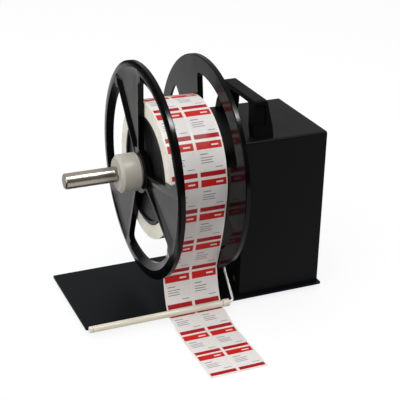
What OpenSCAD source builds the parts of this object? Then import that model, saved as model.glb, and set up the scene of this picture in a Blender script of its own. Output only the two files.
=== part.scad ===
// Label rewinder: a motor housing on a base plate turns a cantilevered spindle with two spoked flanges.
// The label web comes in over the table, passes under a guide roller on a swinging tension arm
// and winds onto a drum between the flanges. X runs along the spindle towards the housing, Y to the back.

/* [Base] */
// Length of the base plate along the spindle
base_len = 263; // [240:1:320]
// Depth of the base plate, front to back
base_depth = 117; // [114:1:140]
// Thickness of the base sheet
base_thick = 2; // [1.5:0.5:4]
// Corner radius of the base plate
base_corner = 2; // [1:0.5:8]
// Height of a rubber foot
foot_height = 5.5; // [4:0.5:10]
// Diameter of a rubber foot
foot_dia = 14; // [10:1:20]
// Distance of a foot's centre from both edges of the base
foot_inset = 20; // [15:1:26]

/* [Housing] */
// Length of the housing along the spindle
housing_len = 92; // [90:1:120]
// Depth of the housing, front to back
housing_depth = 110; // [108:1:120]
// Height of the housing above the spindle axis
housing_headroom = 37.5; // [36:0.5:60]
// Strip of base plate that shows to the right of the housing
housing_inset = 2.5; // [2.5:0.5:10]
// Strip of base plate that shows in front of the housing
housing_setback = 5; // [2:0.5:10]
// Thickness of the cover sheet
sheet_thick = 1.5; // [1:0.25:2]
// Outer bend radius of the cover
sheet_bend = 2.5; // [2:0.5:5]
// Width of the inward folds along the bottom of the cover
cover_fold = 10; // [8:0.5:12]
// Thickness of the side plate and of the rear bearing plate
plate_thick = 3; // [2:0.5:4]
// Width of the foot folded on each of these plates
plate_fold = 12; // [10:1:15]
// Diameter of a tie bar
tie_dia = 8; // [6:0.5:10]
// Distance of a tie bar's axis from the housing walls
tie_inset = 14; // [10:0.5:16]
// Number of vent slots in the end plate
vent_count = 7; // [3:1:9]
// Length of a vent slot
vent_len = 46; // [20:1:60]
// Width of a vent slot
vent_width = 3; // [2:0.5:4]

/* [Carry handle] */
// Length of the handle at its feet
handle_len = 97; // [85:1:104]
// Length of the handle at its top
handle_top_len = 75; // [60:1:80]
// Height of the handle
handle_height = 35.5; // [30:0.5:50]
// Width of the handle at its feet
handle_foot_width = 21; // [18:0.5:30]
// Height of the upright part of the handle's feet
handle_foot_height = 10; // [7:0.5:12]
// Width of the grip
handle_grip_width = 14.5; // [10:0.5:17]
// Thickness of the grip
handle_grip_thick = 4.5; // [3.5:0.5:10]
// Thickness of a leg, front to back
handle_leg = 12; // [11:0.5:16]
// Depth of the pocket in the outside of each leg
handle_pocket = 2; // [1:0.5:3]
// Distance of the handle's middle from the housing's left edge
handle_offset = 24; // [20:0.5:40]

/* [Spindle] */
// Diameter of the spindle in front of the housing
spindle_dia = 16; // [15.5:0.5:18]
// Diameter of the spindle in its bearings
journal_dia = 15; // [14:0.5:15]
// Reach of the spindle in front of the housing
spindle_reach = 168.5; // [160:0.5:180]
// Height of the spindle axis above the base plate
spindle_height = 133.5; // [130:0.5:138]
// Chamfer on the spindle's free end
spindle_chamfer = 1.2; // [0.5:0.1:2]
// Outer diameter of a bearing
bearing_od = 32; // [30:0.5:34]
// Width of a bearing
bearing_width = 9; // [8:0.5:10]
// Ball diameter of a bearing
ball_dia = 4.6; // [4:0.1:5]
// Balls in a bearing
ball_count = 9; // [7:1:10]

/* [Flanges] */
// Diameter of a flange
flange_dia = 222; // [200:1:230]
// Thickness of a flange at its rim's crest and its lips
flange_thick = 6.1; // [5:0.1:8]
// Thickness of a flange in the pockets of its spokes
spoke_thick = 3.2; // [2.5:0.1:4]
// Thickness of a flange at its outer edge
flange_edge = 4.8; // [2:0.1:4.8]
// Depth of the rim's slope down to a window
rim_fall = 3.5; // [2:0.1:4]
// Width of the rounded rim outside the windows
rim_width = 17; // [15:0.5:24]
// Distance from a spoke's pocket to the rim's outer edge
pocket_margin = 6.5; // [5:0.5:9]
// Width of the slope from a pocket's edge down to its floor
pocket_slope = 7.5; // [4:0.5:9]
// Number of spokes
spoke_count = 3; // [3:1:6]
// Angle that a spoke takes up
spoke_angle = 40; // [25:1:45]
// Width of a spoke's lip beside its pocket
lip_width = 2; // [1.5:0.25:4]
// Radius of a window's corners
window_corner = 5; // [2:0.5:6]
// Diameter of the boss in a flange's middle
boss_dia = 45; // [42:1:60]
// Angle of the outer flange's first spoke, from the back upwards
outer_phase = 69.5; // [0:0.5:120]
// Angle of the inner flange's first spoke, from the back upwards
inner_phase = 63; // [0:0.5:120]
// Space between the flanges
flange_gap = 60.8; // [50:0.1:70]
// Space between the inner flange and the housing
flange_standoff = 17.9; // [17:0.1:24]
// Diameter of the nylon lock hub
hub_dia = 39; // [32:0.5:48]
// Length of the nylon lock hub
hub_len = 23.5; // [18:0.5:30]
// Chamfer on both ends of the lock hub
hub_chamfer = 3; // [1:0.5:5]
// Diameter of the collar behind the inner flange
collar_dia = 40; // [30:0.5:50]
// Length of the collar behind the inner flange
collar_len = 8; // [6:0.5:12]
// Diameter of a grub screw
grub_dia = 6; // [4:0.5:6]

/* [Labels] */
// Diameter of the core drum
drum_dia = 113; // [90:1:120]
// Wall of the core drum
drum_wall = 4; // [2.5:0.5:6]
// Ribs inside the core drum
drum_ribs = 6; // [3:1:9]
// Diameter of the wound label roll
roll_dia = 141.6; // [130:0.1:160]
// Width of the label web
web_width = 59; // [40:0.5:60]
// Thickness of the label web
web_thick = 0.35; // [0.3:0.05:0.5]
// Crease of the slack web, behind the base's front edge
crease_setback = 9.2; // [6:0.1:12]
// Height of the web's crease above the base plate
crease_height = 39.6; // [34:0.1:46]
// Reach of the web's tail in front of the base
tail_reach = 113.5; // [90:0.5:140]

/* [Tension arm] */
// Diameter of the guide roller
roller_dia = 6.6; // [6:0.1:8]
// Length of the guide roller
roller_len = 139; // [120:1:140]
// Distance of the roller's axis in front of the base
roller_lead = 7.5; // [7:0.1:12]
// Height of the roller's axis above the base plate
roller_height = 3; // [2.5:0.1:6]
// Diameter of the arm's steel rod
rod_dia = 3.2; // [2.5:0.1:4]
// Bend radius of the rod
rod_bend = 5; // [4:0.5:7]
// Distance of the arm from the housing
arm_offset = 12.5; // [12:0.5:14]
// Height of the arm's pivot above the base plate
pivot_height = 74; // [60:0.5:80]
// Diameter of the pivot pin
pivot_dia = 8; // [6:0.5:10]
// Diameter of the arm's hub
arm_hub_dia = 16; // [14:0.5:20]
// Diameter of the stop pin
stop_dia = 6; // [4:0.5:8]
// Distance of the stop pin from the pivot
stop_reach = 40; // [30:1:60]

/* [Drive] */
// Tooth module of the gears
gear_module = 1; // [0.8:0.1:1.1]
// Teeth of the drive gear
gear_teeth = 60; // [48:1:66]
// Teeth of the motor pinion
pinion_teeth = 20; // [16:1:24]
// Face width of the drive gear
gear_width = 9; // [6:0.5:10]
// Play between the teeth
backlash = 0.2; // [0.1:0.05:0.4]
// Angle of the motor's axis about the spindle, from the back upwards
motor_angle = -50; // [-70:1:-40]
// Diameter of the motor's gearbox
gearbox_dia = 37; // [32:1:40]
// Length of the motor's gearbox
gearbox_len = 22; // [16:1:24]
// Diameter of the motor can
can_dia = 34; // [24:1:36]
// Length of the motor can
can_len = 16; // [12:1:18]
// Diameter of the motor shaft
motor_shaft_dia = 6; // [5:0.5:8]

/* [Controls on the back wall] */
// Height of the switches and the knob above the base plate
control_height = 48; // [40:1:60]
// Distance between the controls
control_pitch = 25; // [24:0.5:28]
// Height of the power inlet above the base plate
inlet_height = 24; // [20:1:28]
// Length of a rocker switch's bezel
switch_len = 21; // [18:0.5:24]
// Width of a rocker switch's bezel
switch_width = 15; // [12:0.5:18]
// Tilt of a rocker to either side
rocker_tilt = 8; // [5:0.5:9]
// Diameter of the speed knob
knob_dia = 18; // [14:0.5:22]
// Height of the speed knob
knob_height = 13; // [10:0.5:18]
// Flutes round the speed knob
knob_flutes = 18; // [12:1:24]

/* [Clearances] */
// Gap between pieces that move past each other
run_gap = 0.35; // [0.3:0.05:0.6]
// Radial play of a shaft in its bore
fit_gap = 0.05; // [0.03:0.01:0.08]
// Radial play of a screw in its hole
screw_gap = 0.2; // [0.1:0.05:0.4]

/* [Hidden] */

$fn = 64;
nothing = 0.01;
black_steel = "#24282b";
black_cover = "#1b1b1e";
black_gloss = "#141416";
black_moulded = "#1d1d1f";
steel = "#c9c7c0";
zinc = "#a8a8a4";
nylon = "#e9e5da";
paper = "#efe9dc";
bronze = "#b08d57";
rubber_black = "#161616";

// Stations along the spindle, from the base plate's left edge
housing_right = base_len - housing_inset;
housing_left = housing_right - housing_len;
inner_flange_back = housing_left - flange_standoff;
inner_flange_face = inner_flange_back - flange_thick;
outer_flange_face = inner_flange_face - flange_gap;
outer_flange_front = outer_flange_face - flange_thick;
hub_front = outer_flange_front - hub_len;
spindle_end = housing_left - spindle_reach;
front_bearing_x = housing_left + plate_thick;
housing_lip = 2;
block_len = bearing_width + housing_lip;
gear_hub_len = 6;
bearing_gap = 21.5;
rear_block_x = front_bearing_x + bearing_gap + bearing_width;
rear_bearing_x = rear_block_x + housing_lip;
rear_plate_x = rear_block_x + block_len;
gear_x = rear_block_x - run_gap - 1 - gear_width;
gear_hub_x = gear_x - gear_hub_len;
circlip_thick = 1.2;
journal_end = rear_plate_x + plate_thick + 2;
arm_x = housing_left - arm_offset;

// Places across the machine: the base plate's front edge is at y = 0 and its top at z = 0
housing_front = housing_setback;
housing_back = housing_setback + housing_depth;
housing_height = spindle_height + housing_headroom;
spindle_y = (housing_front + housing_back) / 2;
spindle_z = spindle_height;
axis_point = [spindle_y, spindle_z];
floor_z = -base_thick - foot_height;
pivot_point = [spindle_y, pivot_height];
roller_point = [-roller_lead, roller_height];
motor_reach = gear_module * (gear_teeth + pinion_teeth) / 2;
motor_point = axis_point + motor_reach * [cos(motor_angle), sin(motor_angle)];

// Radii
spindle_r = spindle_dia / 2;
journal_r = journal_dia / 2;
flange_r = flange_dia / 2;
window_r = flange_r - rim_width;
boss_r = boss_dia / 2;
roll_r = roll_dia / 2;
drum_r = drum_dia / 2;
roller_r = roller_dia / 2;
rod_r = rod_dia / 2;
pivot_r = pivot_dia / 2;
flange_bore_r = spindle_r + fit_gap;
bearing_r = bearing_od / 2;
ball_r = ball_dia / 2;
ball_ring_r = (bearing_r + journal_r) / 2;
block_r = bearing_r + 4;
block_flange_r = bearing_r + 10.5;
block_flange_thick = 3;
block_screw_r = bearing_r + 7;

// The machine stands on the floor with the middle of its outline over the origin
outline_left = min(0, spindle_end);
outline_front = -tail_reach;
outline_back = max(base_depth, spindle_y + flange_r);
to_frame = [-(outline_left + base_len) / 2, -(outline_front + outline_back) / 2, -floor_z];

// Fasteners
screw_r = 1.9;
screw_head_r = 3.3;
screw_head = 2;
cover_screw_x = [housing_left + 32, housing_left + 60];
foot_x = [foot_inset, base_len - foot_inset];
foot_y = [foot_inset, base_depth - foot_inset];
plate_screw_y = [spindle_y - 25, spindle_y + 25];
base_screw_points = concat(
    [for (x = [front_bearing_x, rear_plate_x + plate_thick], y = plate_screw_y)
        [x + plate_fold / 2, y, plate_thick]],
    [for (x = cover_screw_x, y = [housing_front + sheet_thick + cover_fold / 2,
        housing_back - sheet_thick - cover_fold / 2]) [x, y, sheet_thick]]);
tie_points = [for (y = [housing_front + tie_inset, housing_back - tie_inset],
    z = [tie_inset, housing_height - tie_inset]) [y, z]];
tie_screw_r = 1.9;
end_plate_x = housing_right - sheet_thick;
handle_x = housing_left + handle_offset;
handle_screw_y = [for (side = [-1, 1]) spindle_y + side * (handle_len - handle_leg) / 2];
handle_screw_r = 2.4;
handle_screw_depth = 8;
motor_screw_r = 1.5;
motor_screw_circle = gearbox_dia / 2 - 4;

// Plane shapes drawn in the YZ plane and drawn out along X from x_start
module along_x(x_start, length) {
    translate([x_start, 0, 0])
        rotate([90, 0, 90])
            linear_extrude(length) children();
}

module rod_x(x_start, length, point, radius) {
    translate([x_start, point.x, point.y])
        rotate([0, 90, 0])
            cylinder(h = length, r = radius);
}

// A solid of revolution about X; the profile is drawn as [distance from the axis, x]
module turned(x_start, point) {
    translate([x_start, point.x, point.y])
        rotate([90, 0, 90])
            rotate_extrude() children();
}

module placed() {
    translate(to_frame) children();
}

function unit(v) = v / norm(v);

function arc_points(centre, radius, from, to, steps) =
    [for (i = [0:steps]) let (a = from + (to - from) * i / steps) centre + radius * [cos(a), sin(a)]];

// Corner p1 of an outline, rounded by an arc that touches both of its edges
function corner_points(p0, p1, p2, radius, steps) =
    radius == 0 ? [p1] :
    let (a = unit(p0 - p1), b = unit(p2 - p1), half = acos(a * b) / 2)
    let (centre = p1 + unit(a + b) * radius / sin(half), start = p1 + a * radius / tan(half) - centre)
    let (sweep = (180 - 2 * half) * sign(cross(p1 - p0, p2 - p1)), first = atan2(start.y, start.x))
    arc_points(centre, radius, first, first + sweep, steps);

function rounded(points, radii, steps = 8) =
    let (n = len(points))
    [for (i = [0:n - 1])
        each corner_points(points[(i + n - 1) % n], points[i], points[(i + 1) % n], radii[i], steps)];

function bezier(points, t) =
    len(points) == 1 ? points[0] :
    bezier([for (i = [0:len(points) - 2]) points[i] * (1 - t) + points[i + 1] * t], t);

// Pan head screw along +Z with its head's seat at z = 0
module screw(length, radius = screw_r, head_r = screw_head_r, head = screw_head) {
    difference() {
        translate([0, 0, -head]) cylinder(h = head, r = head_r);
        translate([0, 0, -head - nothing]) cylinder(h = head * 0.6, r = head_r * 0.45, $fn = 6);
    }
    cylinder(h = length, r = radius);
}

// Base plate and feet
module base_plate() {
    color(black_steel) placed()
        translate([0, 0, -base_thick])
            difference() {
                linear_extrude(base_thick)
                    polygon(rounded([[0, 0], [base_len, 0], [base_len, base_depth], [0, base_depth]],
                        [for (i = [0:3]) base_corner], 6));
                for (p = base_screw_points)
                    translate([p.x, p.y, -nothing])
                        cylinder(h = base_thick + 2 * nothing, r = screw_r + screw_gap);
            }
}

module rubber_feet() {
    foot_taper = 1;
    color(rubber_black) placed()
        for (x = foot_x, y = foot_y)
            translate([x, y, floor_z])
                rotate_extrude()
                    polygon([[0, 0], [foot_dia / 2 - foot_taper, 0], [foot_dia / 2, foot_height],
                        [0, foot_height]]);
}

module base_screws() {
    color(zinc) placed()
        for (p = base_screw_points)
            translate([p.x, p.y, -base_thick])
                screw(base_thick + p.z);
}

// Housing
module cover_outline(inset, bottom = 0) {
    bend = max(sheet_bend - inset, 0.3);
    polygon(rounded([[housing_front + inset, bottom], [housing_back - inset, bottom],
        [housing_back - inset, housing_height - inset], [housing_front + inset, housing_height - inset]],
        [0, 0, bend, bend], 6));
}

module plate_screw_holes() {
    for (p = base_screw_points)
        translate([p.x, p.y, -nothing])
            cylinder(h = p.z + 2 * nothing, r = screw_r + screw_gap / 2);
}

module housing_cover() {
    color(black_cover) placed()
        difference() {
            union() {
                along_x(housing_left, housing_len)
                    difference() {
                        cover_outline(0);
                        cover_outline(sheet_thick, -nothing);
                    }
                for (y = [housing_front + sheet_thick, housing_back - sheet_thick - cover_fold])
                    translate([housing_left + plate_thick, y, 0])
                        cube([housing_len - plate_thick - sheet_thick, cover_fold, sheet_thick]);
            }
            plate_screw_holes();
            for (y = handle_screw_y)
                translate([handle_x, y, housing_height - 2 * sheet_thick])
                    cylinder(h = 3 * sheet_thick, r = handle_screw_r + screw_gap);
            for (i = [0, 1])
                switch_place(i) switch_cutout();
            knob_place() cylinder(h = 4 * sheet_thick, r = bush_r + screw_gap, center = true);
            inlet_place() cylinder(h = 4 * sheet_thick, r = inlet_r + screw_gap, center = true);
        }
}

// Inner outline of the housing above its bottom folds
module wall_panel() {
    intersection() {
        cover_outline(sheet_thick);
        translate([0, sheet_thick]) square([housing_back, housing_height]);
    }
}

module end_plate() {
    vent_pitch = 9;
    vent_bottom = housing_height * 0.52;
    color(black_cover) placed()
        difference() {
            along_x(end_plate_x, sheet_thick) wall_panel();
            for (p = tie_points)
                rod_x(end_plate_x - nothing, sheet_thick + 2 * nothing, p, tie_screw_r + screw_gap);
            for (i = [0:vent_count - 1], side = [-1, 1])
                rod_x(end_plate_x - nothing, sheet_thick + 2 * nothing,
                    [spindle_y + side * (vent_len - vent_width) / 2, vent_bottom + i * vent_pitch],
                    vent_width / 2);
            for (i = [0:vent_count - 1])
                translate([end_plate_x - nothing, spindle_y - (vent_len - vent_width) / 2,
                    vent_bottom + i * vent_pitch - vent_width / 2])
                    cube([sheet_thick + 2 * nothing, vent_len - vent_width, vent_width]);
        }
}

module tie_bars() {
    screw_depth = 12;
    bar_len = end_plate_x - front_bearing_x;
    color(zinc) placed()
        for (p = tie_points)
            difference() {
                rod_x(front_bearing_x, bar_len, p, tie_dia / 2);
                rod_x(front_bearing_x + bar_len - screw_depth, screw_depth + nothing, p,
                    tie_screw_r + fit_gap);
                rod_x(front_bearing_x - nothing, screw_depth, p, tie_screw_r + fit_gap);
            }
}

// Screws at both ends of the tie bars: countersunk heads sit flush in the side plate
module end_plate_screws() {
    screw_len = 8;
    color(zinc) placed()
        for (p = tie_points) {
            translate([end_plate_x + sheet_thick, p.x, p.y])
                rotate([0, -90, 0])
                    screw(screw_len + sheet_thick, tie_screw_r, screw_head_r, housing_inset * 0.7);
            translate([housing_left, p.x, p.y])
                rotate([0, 90, 0]) {
                    cylinder(h = plate_thick / 2, r = screw_head_r - screw_gap);
                    cylinder(h = plate_thick + screw_len, r = tie_screw_r);
                }
        }
}

module side_plate() {
    color(black_cover) placed()
        difference() {
            union() {
                along_x(housing_left, plate_thick) wall_panel();
                translate([housing_left, plate_screw_y[0] - 12, 0])
                    cube([plate_thick, plate_screw_y[1] - plate_screw_y[0] + 24, plate_thick]);
                translate([housing_left, plate_screw_y[0] - 12, 0])
                    cube([plate_thick + plate_fold, plate_screw_y[1] - plate_screw_y[0] + 24, plate_thick]);
            }
            plate_screw_holes();
            rod_x(housing_left - nothing, plate_thick + 2 * nothing, axis_point, bearing_r - 3.5);
            rod_x(housing_left - nothing, plate_thick + 2 * nothing, pivot_point, bush_out_r + fit_gap);
            rod_x(housing_left - nothing, plate_thick + 2 * nothing, stop_point, stop_dia / 2 + fit_gap);
            for (p = tie_points) {
                rod_x(housing_left - nothing, plate_thick + 2 * nothing, p, tie_screw_r + screw_gap);
                rod_x(housing_left - nothing, plate_thick / 2 + nothing, p, screw_head_r);
            }
            for (p = block_screw_points())
                rod_x(housing_left - nothing, plate_thick + 2 * nothing, p, motor_screw_r + fit_gap);
        }
}

module rear_bearing_plate() {
    margin = 4;
    y0 = housing_front + tie_inset + tie_dia / 2 + margin;
    width = 2 * (spindle_y - y0);
    top = spindle_z + block_flange_r + margin;
    color(zinc) placed()
        difference() {
            union() {
                along_x(rear_plate_x, plate_thick)
                    polygon(rounded([[y0, 0], [y0 + width, 0], [y0 + width, top], [y0, top]],
                        [0, 0, 12, 12], 8));
                translate([rear_plate_x, y0, 0]) cube([plate_thick + plate_fold, width, plate_thick]);
            }
            plate_screw_holes();
            rod_x(rear_plate_x - nothing, plate_thick + 2 * nothing, axis_point, bearing_r - 3.5);
            rod_x(rear_plate_x - nothing, plate_thick + 2 * nothing, motor_point, motor_shaft_dia / 2 + 3);
            for (p = block_screw_points())
                rod_x(rear_plate_x - nothing, plate_thick + 2 * nothing, p, motor_screw_r + fit_gap);
            for (p = motor_screw_points())
                rod_x(rear_plate_x - nothing, plate_thick + 2 * nothing, p, motor_screw_r + screw_gap);
        }
}

// Carry handle: a strap bridge seen from the side, cut by the tapered outline of its legs seen from the front
module carry_handle() {
    slope = (handle_len - handle_top_len) / 2;
    half = handle_len / 2;
    hole_half = half - handle_leg;
    hole_top = handle_height - handle_grip_thick;
    hole_slope = slope * hole_top / handle_height;
    foot_half = handle_foot_width / 2;
    grip_half = handle_grip_width / 2;
    color(black_moulded) placed()
        translate([0, spindle_y, housing_height])
            difference() {
                intersection() {
                    along_x(handle_x - foot_half, 2 * foot_half)
                        difference() {
                            polygon(rounded([[-half, 0], [half, 0], [half - slope, handle_height],
                                [slope - half, handle_height]], [0, 0, 3, 3], 6));
                            polygon(rounded([[-hole_half, -1], [hole_half, -1],
                                [hole_half - hole_slope, hole_top], [hole_slope - hole_half, hole_top]],
                                [0, 0, 6, 6], 8));
                        }
                    seen_from_front(handle_len + 2)
                        polygon(rounded([[-foot_half, 0], [foot_half, 0], [foot_half, handle_foot_height],
                            [grip_half, handle_height], [-grip_half, handle_height],
                            [-foot_half, handle_foot_height]], [0, 0, 8, 1.5, 1.5, 8], 6));
                }
                for (side = [0, 1])
                    mirror([0, side, 0]) leg_pocket(slope / handle_height, half, hole_top);
                for (y = handle_screw_y)
                    translate([handle_x, y - spindle_y, -nothing])
                        cylinder(h = handle_screw_depth, r = handle_screw_r + fit_gap);
            }
}

// Draws an outline of the handle across its width and gives it a length along Y
module seen_from_front(length) {
    translate([handle_x, length / 2, 0])
        rotate([90, 0, 0]) linear_extrude(length) children();
}

// Pocket of even depth in the leaning outside of the front leg, narrower at the foot
module leg_pocket(lean, half, top) {
    rib = 1.5;
    foot_rib = 4;
    low = handle_foot_height + rib;
    face = handle_pocket - half;
    grip_half = handle_grip_width / 2;
    intersection() {
        along_x(handle_x - grip_half, handle_grip_width)
            polygon([[face + lean * low, low], [face + lean * top, top], [-half, top], [-half - 1, low]]);
        seen_from_front(2 * half + 2)
            polygon(rounded([[foot_rib - grip_half, low], [grip_half - foot_rib, low], [grip_half - rib, top],
                [rib - grip_half, top]], [1.5, 1.5, 1, 1], 4));
    }
}

module handle_screws() {
    color(zinc) placed()
        for (y = handle_screw_y)
            translate([handle_x, y, housing_height - sheet_thick])
                screw(handle_screw_depth, handle_screw_r, 4.2, 2.4);
}

// Bearings
function block_screw_points() =
    [for (i = [0:2]) axis_point + block_screw_r * [cos(90 + 120 * i), sin(90 + 120 * i)]];

// Flanged block: from -> its flange face, toward the bearing's retaining lip
module bearing_block_profile() {
    polygon([[bearing_r + fit_gap, 0], [block_flange_r, 0], [block_flange_r, block_flange_thick],
        [block_r, block_flange_thick], [block_r, block_len], [bearing_r - 2.5, block_len],
        [bearing_r - 2.5, bearing_width], [bearing_r + fit_gap, bearing_width]]);
}

module bearing_housings() {
    color(zinc) placed() {
        difference() {
            turned(front_bearing_x, axis_point) bearing_block_profile();
            for (p = block_screw_points())
                rod_x(front_bearing_x - nothing, block_len + 2 * nothing, p, motor_screw_r + screw_gap);
        }
        difference() {
            turned(rear_block_x, axis_point)
                translate([0, block_len]) mirror([0, 1]) bearing_block_profile();
            for (p = block_screw_points())
                rod_x(rear_block_x - nothing, block_len + 2 * nothing, p, motor_screw_r + screw_gap);
        }
    }
}

module bearing_screws() {
    head_r = 2.6;
    head = 1.6;
    reach = block_flange_thick + plate_thick;
    color(zinc) placed()
        for (p = block_screw_points()) {
            translate([front_bearing_x + block_flange_thick, p.x, p.y])
                rotate([0, -90, 0]) screw(reach, motor_screw_r, head_r, head);
            translate([rear_plate_x - block_flange_thick, p.x, p.y])
                rotate([0, 90, 0]) screw(reach, motor_screw_r, head_r, head);
        }
}

ring_gap = ball_r * 0.72;

module bearing_outer_rings() {
    color(steel) placed()
        for (x = [front_bearing_x, rear_bearing_x])
            turned(x, axis_point)
                difference() {
                    translate([ball_ring_r + ring_gap, 0])
                        square([bearing_r - ball_ring_r - ring_gap, bearing_width]);
                    translate([ball_ring_r, bearing_width / 2]) circle(r = ball_r + fit_gap);
                }
}

module bearing_inner_rings() {
    color(steel) placed()
        for (x = [front_bearing_x, rear_bearing_x])
            turned(x, axis_point)
                difference() {
                    translate([journal_r + fit_gap / 2, 0])
                        square([ball_ring_r - ring_gap - journal_r - fit_gap / 2, bearing_width]);
                    translate([ball_ring_r, bearing_width / 2]) circle(r = ball_r + fit_gap);
                }
}

module bearing_balls() {
    color(steel) placed()
        for (x = [front_bearing_x, rear_bearing_x], i = [0:ball_count - 1])
            translate([x + bearing_width / 2, axis_point.x, axis_point.y])
                rotate([i * 360 / ball_count, 0, 0])
                    translate([0, ball_ring_r, 0]) sphere(r = ball_r);
}

// Spindle and what turns with it
module spindle_shaft() {
    groove = 0.5;
    shoulder = front_bearing_x - spindle_end;
    hub_station = hub_front - spindle_end;
    color(steel) placed()
        turned(spindle_end, axis_point)
            polygon([[0, 0], [spindle_r - spindle_chamfer, 0], [spindle_r, spindle_chamfer],
                [spindle_r, hub_station - 2 * groove], [spindle_r - groove, hub_station - groove],
                [spindle_r, hub_station], [spindle_r, shoulder], [journal_r, shoulder],
                [journal_r, rear_plate_x - spindle_end],
                [journal_r - 1, rear_plate_x - spindle_end],
                [journal_r - 1, rear_plate_x + circlip_thick - spindle_end],
                [journal_r, rear_plate_x + circlip_thick - spindle_end],
                [journal_r, journal_end - spindle_end - 0.8],
                [journal_r - 0.8, journal_end - spindle_end], [0, journal_end - spindle_end]]);
}

// Tubes that hold the gear between the two bearings
module spindle_spacers() {
    spacer_r = ball_ring_r - ring_gap;
    color(zinc) placed() {
        turned(front_bearing_x + bearing_width, axis_point)
            translate([journal_r + fit_gap / 2, 0])
                square([spacer_r - journal_r - fit_gap / 2, gear_hub_x - front_bearing_x - bearing_width]);
        turned(gear_x + gear_width, axis_point)
            translate([journal_r + fit_gap / 2, 0])
                square([spacer_r - journal_r - fit_gap / 2, rear_bearing_x - gear_x - gear_width]);
    }
}

module spindle_circlip() {
    clip_r = journal_r + 2.2;
    opening = 4;
    color(steel) placed()
        difference() {
            turned(rear_plate_x, axis_point)
                translate([journal_r - 1 + fit_gap, 0])
                    square([clip_r - journal_r + 1 - fit_gap, circlip_thick]);
            translate([rear_plate_x - nothing, spindle_y - opening / 2, spindle_z])
                cube([circlip_thick + 2 * nothing, opening, clip_r + 1]);
        }
}

// Involute gear outline with a tooth centred on the local x axis
function involute_angle(r, base_r) =
    let (t = sqrt(max(pow(r / base_r, 2) - 1, 0))) t * 180 / PI - atan(t);

function gear_points(teeth, steps = 4) =
    let (pitch_r = gear_module * teeth / 2, base_r = pitch_r * cos(20))
    let (tip_r = pitch_r + 0.9 * gear_module, root_r = pitch_r - 1.2 * gear_module)
    let (half = 90 / teeth - backlash / 4 / pitch_r * 180 / PI + involute_angle(pitch_r, base_r))
    let (start_r = max(base_r, root_r))
    let (flank = [for (i = [0:steps]) let (r = start_r + (tip_r - start_r) * i / steps)
        [r, half - involute_angle(r, base_r)]])
    [for (k = [0:teeth - 1]) let (mid = k * 360 / teeth) each concat(
        [[root_r * cos(mid - half), root_r * sin(mid - half)]],
        [for (f = flank) f[0] * [cos(mid - f[1]), sin(mid - f[1])]],
        [for (i = [steps:-1:0]) let (f = flank[i]) f[0] * [cos(mid + f[1]), sin(mid + f[1])]],
        [[root_r * cos(mid + half), root_r * sin(mid + half)]])];

module drive_gear() {
    hub_r = journal_r + 5;
    web_r = gear_module * gear_teeth / 2 - 5;
    color("#d8d2c0") placed()
        translate([0, axis_point.x, axis_point.y])
            difference() {
                union() {
                    along_x(gear_x, gear_width) rotate(motor_angle) polygon(gear_points(gear_teeth));
                    rod_x(gear_hub_x, gear_hub_len + nothing, [0, 0], hub_r);
                }
                rod_x(gear_hub_x - nothing, gear_hub_len + gear_width + 2, [0, 0], journal_r + fit_gap / 2);
                turned(gear_x + gear_width * 0.6, [0, 0])
                    translate([hub_r, 0]) square([web_r - hub_r, gear_width]);
            }
}

module motor_pinion() {
    pinion_r = gear_module * pinion_teeth / 2;
    face = gear_width + 1;
    color(steel) placed()
        translate([0, motor_point.x, motor_point.y]) {
            along_x(gear_x - 0.5, face)
                rotate(motor_angle + 180 + 180 / pinion_teeth) polygon(gear_points(pinion_teeth));
            rod_x(gear_x - 0.5, rear_plate_x + plate_thick - run_gap - gear_x + 0.5, [0, 0],
                motor_shaft_dia / 2);
            rod_x(gear_x - 0.5 + face - nothing, 2, [0, 0], pinion_r * 0.7);
        }
}

function motor_screw_points() =
    [for (i = [0:3]) motor_point + motor_screw_circle * unit_at(motor_angle + 45 + 90 * i)];

module gear_motor() {
    face = rear_plate_x + plate_thick;
    terminal = [2, 6, 1];
    color("#5c6066") placed()
        difference() {
            union() {
                rod_x(face, gearbox_len, motor_point, gearbox_dia / 2);
                rod_x(face + gearbox_len - nothing, can_len, motor_point, can_dia / 2);
                rod_x(face + gearbox_len + can_len - nothing, 1.5, motor_point, can_dia / 5);
                for (side = [-1, 1])
                    translate([face + gearbox_len + can_len - nothing, motor_point.x - terminal.y / 2,
                        motor_point.y + side * can_dia / 3])
                        cube(terminal);
            }
            for (p = motor_screw_points())
                rod_x(face - nothing, 6, p, motor_screw_r + fit_gap);
        }
}

module motor_screws() {
    color(zinc) placed()
        for (p = motor_screw_points())
            translate([rear_plate_x, p.x, p.y])
                rotate([0, 90, 0]) screw(plate_thick + 5, motor_screw_r, 2.8, 1.8);
}

module flange_collar() {
    color(zinc) placed()
        difference() {
            turned(inner_flange_back, axis_point)
                polygon([[spindle_r + fit_gap / 2, 0], [collar_dia / 2, 0], [collar_dia / 2, collar_len - 1],
                    [collar_dia / 2 - 1, collar_len], [spindle_r + fit_gap / 2, collar_len]]);
            translate([inner_flange_back + collar_len / 2, spindle_y, spindle_z])
                cylinder(h = collar_dia, r = min(grub_dia, collar_len - 2) / 2);
        }
}

// Outline of a flange window: a ring sector about the local x axis with rounded corners
function sector_points(inner_r, outer_r, half, corner) =
    let (outer_turn = asin(corner / (outer_r - corner)), inner_turn = asin(corner / (inner_r + corner)))
    let (outer_centre = (outer_r - corner) * [cos(half - outer_turn), sin(half - outer_turn)])
    let (inner_centre = (inner_r + corner) * [cos(half - inner_turn), sin(half - inner_turn)])
    let (upper = concat(
        arc_points([0, 0], outer_r, 0, half - outer_turn, 8),
        [for (i = [1:4]) outer_centre + corner * unit_at(half - outer_turn + (90 + outer_turn) * i / 4)],
        [for (i = [0:4]) inner_centre + corner * unit_at(half + 90 + (90 - inner_turn) * i / 4)],
        [for (i = [1:4]) inner_r * unit_at((half - inner_turn) * (1 - i / 4))]))
    concat(upper, [for (i = [len(upper) - 2:-1:1]) [upper[i].x, -upper[i].y]]);

function unit_at(angle) = [cos(angle), sin(angle)];

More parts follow.
